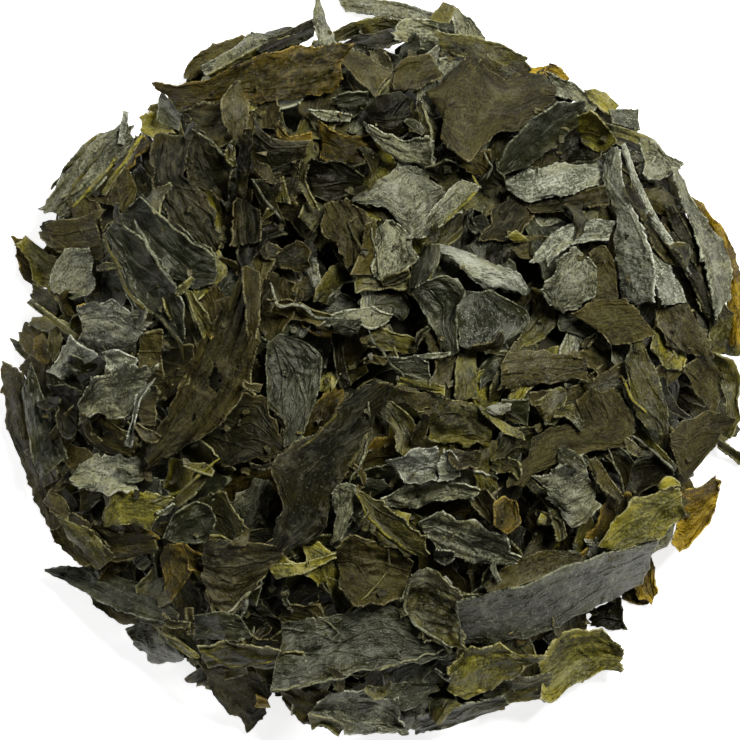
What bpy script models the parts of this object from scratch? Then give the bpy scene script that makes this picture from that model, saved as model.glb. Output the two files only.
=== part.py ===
"""Dried wakame flakes: a round, loose heap of thin, curled and broken seaweed leaf on its flat base.

The heap is one solid. A lumpy core fills its middle, and the flakes that show lie on it, each a thin wavy
sheet at true size. Flakes are laid one after another on a relief map of what already lies there, so each
rests on the ones under it, as in a real heap.
Metres, +Z up, origin at the middle of the base.
"""

import math

import bmesh
import bpy
import numpy as np
from mathutils import Vector
from mathutils.geometry import delaunay_2d_cdt

# ---- driving dimensions ---------------------------------------------------------------------------
HEAP_WIDTH = 0.098        # across the heap, over the tips that stick out
LEAF_THICKNESS = 0.0005
SEED = 41

# The hand-laid flakes are placed on a square layout, seen from above and counted in steps from its
# top left corner, x to the right and y down. The heap is 725 steps across, so a step is 0.135 mm.
LAYOUT_STEP = HEAP_WIDTH / 725
LAYOUT_CENTRE = (370, 370)

# ---- the packed middle, on which the first flakes are laid ----------------------------------------
CORE_RADIUS = 0.0440
CORE_HEIGHT = 0.0165
CORE_POWER = 2.1          # how flat the top is and how steep the rim: 2 is a ball cap
CORE_LUMP = 0.0010
SKIRT_FLAKES = 110        # small ones round the foot of the heap, which are laid first
SKIRT_REACH = (0.0350, 0.0438)
SKIRT_SIZE = 0.0085
LOOSE_FLAKES = 300        # small ones strewn over the core before the hand-laid ones
LOOSE_RADIUS = 0.0440
LOOSE_SIZE = 0.0088
LOOSE_STRAY = 0.0015
LOOSE_LENGTHS = (0.75, 1.35)     # their lengths as shares of the size, and widths as shares of the length
LOOSE_WIDTHS = (0.28, 0.68)
LOOSE_UNEVEN = (0.40, 1.35)      # each margin stands this share of its profile from the spine
LOOSE_PROFILE = (0.60, 1.0, 0.9, 0.40)

# ---- the relief map -------------------------------------------------------------------------------
MAP_HALF = 0.060
MAP_CELL = 0.0005
MAP_CELLS = round(2 * MAP_HALF / MAP_CELL)
SAMPLE_STEP = 0.00042     # spacing of the points at which a flake feels the map
STEEPEST = 0.80           # a flake leans no more than this, as a slope
FLOOR_GAP = 0.00035       # the middle of a leaf's thickness stays this far above the base plane
LARGE_LEAN = 0.10         # how far a flake leans off the heap under it, as a slope
LOOSE_LEAN = 0.35
SINK = 0.00012            # how far a flake settles into the highest points under it
WIDEST_SHARE = 1.6        # a flake's greatest width as a share of its width halfway
BOW_DOWN = 0.12           # how far a flake bows down and up at its ends, as shares of its length
BOW_UP = 0.05
# How closely each kind of flake follows the slope under it, and the percentile of the ground on
# which it rests.
SKIRT_REST = (0.95, 85)
LOOSE_REST = (0.80, 90)
RIM_REST = (0.95, 90)
MIDDLE_REST = (0.95, 92)
TOP_REST = (0.95, 96)

# ---- meshing --------------------------------------------------------------------------------------
CORE_POINTS = 250         # points on the solid core's top, spread evenly
CORE_SIDES = 44
CORE_UNDER = 0.0013       # the solid core lies this far under the smoothed top of the heap
CORE_EDGE = 0.0025        # where the smoothed heap is lower than this, the solid core ends
CORE_STEP = 0.0009        # height of the solid core's edge
CORE_LEAST_RADIUS = 0.030
CORE_MOST_RADIUS = 0.0473
EDGE_STEP = 0.3           # the core's edge is looked for in steps of this share of a map cell
CORE_FALL_FROM = 0.032    # between these radii the solid core sinks from the top to the lowest leaf
CORE_FALL_TO = 0.042
FOOT_LIFT = 0.0016
CORE_SLOPE = 1.65         # the core's rim rises inwards no steeper than this
CORE_UNEVEN = 0.0020      # its faces may lie this far under the height worked out for them
OVERLAP = 0.00035         # each sheet is sunk until it goes this far into what lies under it
FURTHEST_DROP = 0.0090
SETTLE_PARTS = 6          # how many times each cell of a sheet is split for that
CORE_INNER = 0.965        # the points inside the edge stay within this share of its radius
SMOOTH_CELLS = 3          # the relief is smoothed over this many cells to each side
FOOT_SMOOTH_CELLS = 1
SHOWN_LEAST = 3.0e-6      # square metres that a flake shows from above to be worth its own sheet
RIM_RADIUS = 0.0395       # past this, flakes show from the side too
SHOWN_LEAST_AT_RIM = 1.5e-6
RIM_WEIGHT = 1.8
SKIRT_SHOWN = 12.0e-6     # what a skirt flake on the rim is taken to show from the side
MOST_SHEETS = 205
UNION_SOLVER = "MANIFOLD"
CELL_ALONG = 0.0050       # the sides of a sheet's cells, before they are split into triangles
CELL_ACROSS = 0.0040
MOST_ALONG = 7            # no sheet has more cells than this along and across it
MOST_ACROSS = 3

# Each form of dried leaf: curl across and bend along, as shares of width and length, height of the
# keel as a share of width, then ruffle, fold height, fold spacing and crumple height (m).
FORMS = {
    "flat": (0.04, 0.02, 0.02, 0.00012, 0.00005, 0.0030, 0.00013),
    "leaf": (0.08, 0.05, 0.18, 0.00040, 0.00012, 0.0026, 0.00028),
    "ribbed": (0.07, 0.04, 0.12, 0.00022, 0.00024, 0.0017, 0.00020),
    "crumpled": (0.08, 0.06, 0.16, 0.00045, 0.00016, 0.0024, 0.00062),
    "rolled": (0.30, 0.05, 0.06, 0.00020, 0.00012, 0.0022, 0.00022),
    "cup": (0.20, 0.14, 0.10, 0.00030, 0.00014, 0.0026, 0.00028),
}
# How far each colour of leaf is torn and notched at its margin (m).
TORN = {"umber": 0.00038, "slate": 0.00034, "olive": 0.00042, "moss": 0.00044,
        "amber": 0.00050, "ash": 0.00042, "black": 0.00034, "tawny": 0.00034, "pale": 0.00034,
        "peat": 0.00036}
FULLY_TORN = 0.0050       # width of leaf from which it is torn as deep as that
CORNERS = 0.65            # share of straight line in a margin, which gives torn leaf its blunt corners
STRAY = 0.0005            # how far creases stray from straight lines, and how fast
STRAY_TURN = 1400
HEADING_SHARE = 0.03      # the leaf's heading at a place is read this share of its length to each side
NICKED = 0.10             # how deep the fine nicks are, as a share of the notches, and how much deeper
NICKED_IN_NOTCH = 0.75    # they are inside a notch
TORN_ACROSS = 0.45        # the tears fade inwards over this share of the half width and half length
TORN_ALONG = 0.25
END_TEAR = 1.6            # a leaf's ends are torn this much deeper than its sides
THIN_TIP = 0.002          # where a leaf is narrower than this, it is torn less deep
FINE_SHARE = 0.30         # height of the fine creases, as a share of the large ones

# Leaf colour, form, and both margins of each hand-laid flake from its stem end to its tip, in layout
# steps, in the order in which they are laid.
RIM_FLAKES = (
    ("umber", "leaf", ((484, 56), (505, 66), (530, 80)), ((474, 76), (498, 88), (520, 100))),
    ("peat", "leaf", ((612, 130), (640, 140), (668, 160)), ((602, 162), (630, 176), (658, 192))),
    ("peat", "leaf", ((668, 232), (692, 262), (708, 300), (714, 332)),
     ((634, 258), (660, 290), (676, 322), (690, 350))),
    ("peat", "leaf", ((690, 255), (706, 280), (712, 330)), ((674, 262), (688, 290), (700, 332))),
    ("olive", "leaf", ((590, 96), (612, 112), (640, 130)), ((580, 116), (600, 132), (622, 146))),
    ("peat", "leaf", ((652, 148), (676, 172), (690, 205)), ((634, 168), (656, 192), (668, 218))),
    ("umber", "leaf", ((682, 212), (704, 245), (716, 290)), ((664, 226), (684, 258), (694, 296))),
    ("olive", "leaf", ((716, 290), (740, 325), (742, 356)), ((696, 300), (708, 330), (708, 356))),
    ("umber", "leaf", ((700, 345), (724, 360), (736, 385)), ((680, 372), (694, 392), (712, 412))),
    ("olive", "leaf", ((722, 400), (736, 415), (738, 440)), ((690, 412), (698, 426), (712, 440))),
    ("umber", "leaf", ((668, 470), (684, 476), (700, 492)), ((656, 490), (668, 502), (684, 508))),
    ("tawny", "leaf", ((624, 582), (640, 586), (656, 592)), ((622, 600), (636, 606), (650, 606))),
    ("olive", "leaf", ((490, 672), (520, 676), (552, 672)), ((478, 700), (508, 704), (540, 698))),
    ("slate", "leaf", ((396, 690), (415, 694), (440, 700)), ((392, 728), (412, 730), (436, 722))),
    ("umber", "leaf", ((276, 676), (300, 682), (330, 690)), ((286, 704), (304, 724), (330, 728))),
    ("umber", "leaf", ((92, 548), (110, 560), (130, 576)), ((82, 560), (98, 575), (116, 584))),
    ("olive", "leaf", ((170, 618), (190, 630), (206, 650)), ((160, 636), (178, 652), (194, 662))),
    ("umber", "leaf", ((56, 474), (66, 486), (78, 505)), ((30, 484), (41, 512), (54, 535))),
    ("umber", "leaf", ((72, 512), (90, 522), (108, 545)), ((49, 530), (64, 549), (86, 570))),
    ("umber", "leaf", ((36, 350), (46, 362), (56, 392)), ((20, 368), (30, 382), (40, 400))),
    ("umber", "leaf", ((26, 322), (40, 330), (56, 352)), ((20, 344), (32, 356), (48, 368))),
    ("tawny", "leaf", ((14, 240), (26, 240), (40, 262)), ((18, 268), (28, 284), (44, 292))),
    ("olive", "leaf", ((34, 284), (46, 290), (62, 300)), ((34, 304), (44, 312), (58, 316))),
    ("umber", "leaf", ((44, 222), (52, 218), (70, 222)), ((40, 238), (48, 248), (66, 252))),
    ("umber", "leaf", ((84, 178), (100, 168), (118, 168)), ((90, 202), (106, 204), (122, 196))),
    ("umber", "leaf", ((2, 372), (4, 400), (6, 430), (18, 455), (34, 492)),
     ((24, 372), (32, 396), (40, 420), (50, 446), (60, 480))),
    ("umber", "ribbed", ((184, 72), (192, 57), (220, 42), (243, 34)),
     ((190, 80), (203, 70), (225, 56), (250, 42))),
    ("ash", "ribbed", ((202, 66), (230, 50), (253, 32), (275, 36)),
     ((206, 76), (232, 64), (258, 50), (285, 42))),
    ("olive", "leaf", ((208, 76), (240, 58), (270, 42), (300, 36)),
     ((214, 80), (245, 66), (270, 54), (300, 48))),
    ("black", "ribbed", ((255, 52), (285, 32), (316, 19)), ((268, 56), (295, 46), (314, 36))),
    ("ash", "rolled", ((317, 2), (312, 20), (320, 45)), ((319, 2), (328, 22), (335, 43))),
    ("ash", "ribbed", ((338, -4), (380, -1), (405, 2), (430, 12), (458, 20)),
     ((345, 11), (380, 15), (408, 22), (435, 31), (460, 34))),
    ("olive", "leaf", ((333, 32), (350, 21), (380, 17), (404, 18)),
     ((335, 42), (360, 36), (385, 34), (407, 30))),
    ("black", "ribbed", ((350, 38), (400, 28)), ((355, 50), (390, 48), (410, 38))),
    ("ash", "crumpled", ((398, 22), (414, 18), (438, 22)), ((400, 42), (418, 50), (444, 46))),
    ("olive", "leaf", ((430, 20), (443, 1)), ((450, 27), (454, 5))),
    ("olive", "leaf", ((438, 33), (462, 36), (500, 43), (512, 51), (527, 58)),
     ((440, 52), (470, 60), (500, 67), (518, 65))),
    ("amber", "leaf", ((530, 68), (550, 64)), ((535, 76), (552, 74))),
    ("amber", "rolled", ((548, 60), (560, 66), (571, 78)), ((542, 74), (552, 78), (568, 84))),
    ("ash", "rolled", ((548, 72), (575, 84), (600, 106)), ((556, 95), (575, 102), (592, 116))),
    ("moss", "leaf", ((583, 90), (596, 90), (622, 106)), ((590, 100), (605, 112), (612, 118))),
    ("slate", "flat", ((608, 110), (638, 109)), ((612, 124), (640, 130))),
    ("olive", "ribbed", ((600, 122), (630, 130), (656, 140)), ((605, 134), (630, 142), (652, 150))),
    ("ash", "ribbed", ((622, 148), (655, 158)), ((626, 160), (650, 166))),
    ("ash", "leaf", ((640, 140), (660, 145), (678, 165)), ((640, 175), (655, 180), (668, 178))),
    ("amber", "leaf", ((690, 195), (712, 215), (728, 235), (738, 270), (741, 310), (738, 350)),
     ((690, 215), (705, 235), (718, 260), (725, 300), (728, 340))),
    ("olive", "leaf", ((712, 352), (732, 360), (740, 380), (736, 400), (740, 420), (728, 440)),
     ((712, 370), (720, 385), (724, 400), (724, 415), (720, 432))),
    ("olive", "rolled", ((716, 438), (728, 444), (744, 456)), ((718, 448), (730, 456), (742, 466))),
    ("amber", "cup", ((680, 493), (702, 484), (726, 478)), ((665, 541), (686, 549), (709, 522))),
    ("amber", "leaf", ((640, 552), (651, 556), (656, 592)), ((636, 585), (640, 600), (652, 606))),
    ("black", "leaf", ((590, 620), (600, 604), (620, 600)), ((598, 628), (612, 631), (628, 630))),
    ("moss", "cup", ((540, 655), (560, 633), (580, 627), (600, 630), (622, 648)),
     ((538, 700), (556, 700), (573, 685), (600, 673), (619, 668))),
    ("amber", "leaf", ((480, 704), (503, 702)), ((484, 714), (505, 709))),
    ("slate", "ribbed", ((418, 715), (450, 706), (505, 695)),
     ((415, 735), (450, 728), (482, 715), (510, 704))),
    ("ash", "crumpled", ((318, 702), (340, 690), (370, 688), (395, 700), (405, 722)),
     ((308, 713), (330, 722), (350, 732), (390, 734), (404, 730))),
    ("olive", "rolled", ((308, 712), (330, 717), (348, 726)), ((312, 728), (322, 724), (338, 736))),
    ("umber", "leaf", ((200, 662), (225, 667), (262, 672), (270, 695)),
     ((212, 690), (228, 714), (240, 716), (247, 733), (262, 720))),
    ("amber", "leaf", ((256, 694), (268, 698)), ((258, 706), (271, 708))),
    ("slate", "cup", ((126, 630), (140, 621), (165, 621), (185, 655)),
     ((132, 645), (148, 655), (147, 661), (165, 664), (185, 658))),
    ("umber", "leaf", ((88, 592), (110, 600), (140, 612)), ((92, 605), (108, 616), (118, 624), (135, 624))),
    ("slate", "leaf", ((43, 570), (68, 567), (100, 571), (140, 582), (182, 613)),
     ((45, 571), (60, 579), (90, 596), (125, 612), (160, 620), (180, 618))),
    ("umber", "leaf", ((52, 488), (66, 500), (72, 510)), ((44, 502), (55, 515), (68, 520))),
    ("olive", "leaf", ((60, 518), (85, 525), (118, 556)), ((64, 530), (85, 552), (97, 570))),
    ("umber", "leaf", ((2, 361), (16, 366), (26, 382), (26, 410), (30, 440)),
     ((0, 392), (8, 398), (16, 415), (23, 440))),
    ("slate", "leaf", ((32, 361), (44, 395), (54, 420), (68, 458)),
     ((22, 392), (27, 420), (32, 455), (42, 478))),
    ("black", "cup", ((52, 388), (66, 381), (80, 392)), ((56, 415), (68, 440), (80, 440))),
    ("tawny", "leaf", ((34, 338), (44, 332), (50, 345)), ((38, 358), (46, 366), (52, 362))),
    ("olive", "leaf", ((48, 350), (52, 330), (60, 326)), ((55, 362), (60, 352), (64, 338))),
    ("moss", "leaf", ((16, 246), (27, 239), (57, 258)), ((30, 262), (34, 283), (50, 288))),
    ("umber", "flat", ((46, 224), (70, 219), (100, 214)), ((58, 252), (80, 256), (104, 262))),
    ("ash", "ribbed", ((45, 207), (58, 183), (82, 147), (98, 133), (122, 123)),
     ((62, 220), (85, 202), (110, 180), (140, 145))),
    ("olive", "rolled", ((104, 196), (122, 168), (141, 134)), ((107, 197), (125, 170), (144, 136))),
    ("pale", "rolled", ((119, 144), (124, 112)), ((125, 146), (129, 113))),
    ("moss", "crumpled", ((140, 118), (155, 112), (170, 120)), ((142, 134), (156, 138), (170, 132))),
    ("slate", "leaf", ((158, 104), (162, 93), (182, 118)), ((158, 120), (170, 128), (180, 132))),
)
MIDDLE_FLAKES = (
    ("umber", "leaf", ((183, 112), (205, 106), (232, 106)), ((190, 135), (215, 150), (238, 142))),
    ("umber", "cup", ((255, 130), (258, 105), (272, 94)), ((278, 130), (282, 112), (276, 97))),
    ("tawny", "rolled", ((277, 125), (290, 138), (312, 134)), ((278, 138), (292, 147), (312, 142))),
    ("peat", "flat", ((256, 122), (272, 140), (312, 142)), ((250, 180), (270, 184), (298, 172))),
    ("umber", "flat", ((335, 50), (360, 55), (392, 72)), ((340, 62), (355, 80), (374, 98))),
    ("slate", "crumpled", ((332, 100), (345, 94), (368, 94)), ((342, 112), (352, 120), (366, 112))),
    ("ash", "rolled", ((308, 111), (330, 113), (355, 116)), ((312, 114), (325, 123), (350, 122))),
    ("umber", "ribbed", ((393, 72), (405, 58), (430, 55)), ((395, 90), (420, 91), (443, 76))),
    ("olive", "leaf", ((420, 102), (428, 118), (434, 140)), ((408, 138), (418, 141), (430, 142))),
    ("peat", "leaf", ((252, 180), (262, 205), (275, 220)), ((284, 182), (278, 205), (292, 238))),
    ("peat", "ribbed", ((236, 195), (232, 245)), ((262, 210), (262, 245))),
    ("umber", "leaf", ((127, 169), (112, 190), (108, 205)), ((130, 170), (138, 190), (130, 215))),
    ("moss", "rolled", ((160, 288), (168, 284), (178, 292), (180, 322)),
     ((166, 300), (168, 315), (178, 328))),
    ("olive", "rolled", ((178, 295), (198, 345)), ((186, 292), (202, 340))),
    ("olive", "rolled", ((186, 290), (205, 340)), ((194, 292), (218, 330))),
    ("umber", "leaf", ((140, 332), (165, 330)), ((142, 368), (165, 378))),
    ("olive", "rolled", ((28, 303), (78, 341)), ((32, 299), (82, 337))),
    ("amber", "leaf", ((78, 306), (82, 318), (86, 338)), ((86, 304), (90, 315), (90, 335))),
    ("umber", "leaf", ((142, 385), (160, 385)), ((140, 425), (158, 425))),
    ("umber", "leaf", ((78, 480), (106, 488)), ((80, 515), (92, 505))),
    ("olive", "rolled", ((172, 502), (190, 482), (212, 462)), ((180, 506), (196, 494), (214, 470))),
    ("slate", "leaf", ((192, 616), (216, 609), (242, 614)), ((195, 637), (222, 639), (255, 636))),
    ("olive", "ribbed", ((200, 645), (225, 640), (262, 645), (302, 651)),
     ((208, 667), (232, 662), (262, 667), (302, 661))),
    ("moss", "leaf", ((165, 633), (182, 640), (200, 655)), ((168, 640), (180, 650), (194, 658))),
    ("umber", "rolled", ((186, 606), (188, 634)), ((194, 606), (196, 634))),
    ("olive", "rolled", ((313, 303), (322, 278), (340, 262)), ((330, 308), (342, 290), (346, 268))),
    ("umber", "rolled", ((268, 300), (290, 300), (320, 312), (342, 318)),
     ((272, 312), (300, 322), (322, 326), (340, 322))),
    ("olive", "ribbed", ((360, 338), (372, 328), (396, 332), (424, 342)),
     ((362, 346), (385, 350), (405, 354), (424, 350))),
    ("ash", "rolled", ((398, 358), (425, 354), (450, 352)), ((400, 361), (425, 359), (448, 356))),
    ("ash", "flat", ((384, 358), (408, 357), (428, 362)), ((398, 374), (415, 378), (434, 381))),
    ("moss", "rolled", ((396, 378), (420, 380), (445, 386)), ((398, 384), (420, 389), (444, 395))),
    ("umber", "leaf", ((398, 388), (420, 392), (440, 396)), ((405, 402), (418, 412), (436, 404))),
    ("amber", "leaf", ((302, 436), (310, 410), (324, 393)), ((322, 436), (332, 418), (346, 388))),
    ("moss", "leaf", ((319, 392), (322, 376), (330, 370)), ((330, 394), (336, 385), (340, 374))),
    ("olive", "leaf", ((350, 434), (344, 460), (336, 478)), ((368, 430), (366, 452), (356, 478))),
    ("black", "ribbed", ((332, 334), (334, 360), (340, 388)), ((342, 334), (344, 360), (352, 386))),
    ("moss", "leaf", ((247, 554), (258, 545), (276, 545)), ((256, 566), (272, 566), (290, 560))),
    ("moss", "rolled", ((268, 562), (300, 562), (336, 552)), ((278, 578), (305, 571), (336, 556))),
    ("olive", "leaf", ((325, 574), (332, 598), (339, 613)), ((341, 580), (347, 597), (357, 608))),
    ("slate", "leaf", ((383, 684), (402, 680), (432, 683)), ((393, 700), (404, 711), (426, 698))),
    ("olive", "cup", ((426, 720), (430, 702), (446, 690)), ((440, 722), (452, 712), (466, 704))),
    ("olive", "leaf", ((455, 402), (452, 378), (458, 351)), ((476, 398), (475, 375), (474, 350))),
    ("umber", "leaf", ((483, 584), (505, 564), (545, 549), (582, 552)),
     ((486, 592), (515, 585), (550, 572), (582, 560))),
    ("umber", "cup", ((468, 490), (472, 505), (490, 522)), ((486, 488), (496, 500), (500, 520))),
    ("umber", "leaf", ((588, 254), (604, 245), (614, 262)), ((592, 300), (606, 302), (618, 300))),
    ("olive", "leaf", ((486, 405), (492, 378), (514, 342)), ((498, 400), (508, 372), (525, 340))),
    ("slate", "leaf", ((500, 400), (528, 399)), ((506, 416), (526, 426))),
    ("olive", "leaf", ((532, 402), (548, 390), (564, 388)), ((541, 428), (552, 422), (566, 396))),
    ("black", "flat", ((620, 478), (640, 458), (662, 452)), ((630, 500), (655, 484), (676, 474))),
    ("peat", "leaf", ((604, 455), (616, 470), (620, 490)), ((612, 450), (630, 462), (628, 482))),
    ("olive", "rolled", ((634, 432), (650, 452), (672, 472)), ((640, 428), (660, 448), (674, 466))),
    ("umber", "rolled", ((584, 462), (598, 485), (618, 502)), ((594, 456), (610, 478), (622, 496))),
    ("olive", "rolled", ((522, 480), (545, 505), (556, 540)), ((530, 478), (556, 500), (566, 535))),
    ("peat", "leaf", ((481, 240), (492, 212), (512, 193)), ((500, 242), (520, 235), (536, 205))),
    ("peat", "ribbed", ((524, 206), (560, 199), (606, 186)), ((530, 214), (565, 212), (608, 205))),
    ("pale", "crumpled", ((530, 262), (545, 238), (578, 221), (616, 221)),
     ((545, 266), (562, 250), (580, 244), (606, 240))),
    ("umber", "cup", ((643, 192), (660, 188), (676, 200)), ((648, 205), (660, 215), (676, 220))),
    ("black", "leaf", ((664, 208), (672, 230), (690, 250)), ((672, 205), (684, 225), (694, 245))),
    ("moss", "rolled", ((504, 238), (514, 232)), ((514, 243), (528, 242))),
    ("black", "leaf", ((664, 236), (685, 275), (712, 328)), ((672, 232), (700, 275), (716, 322))),
)
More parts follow.
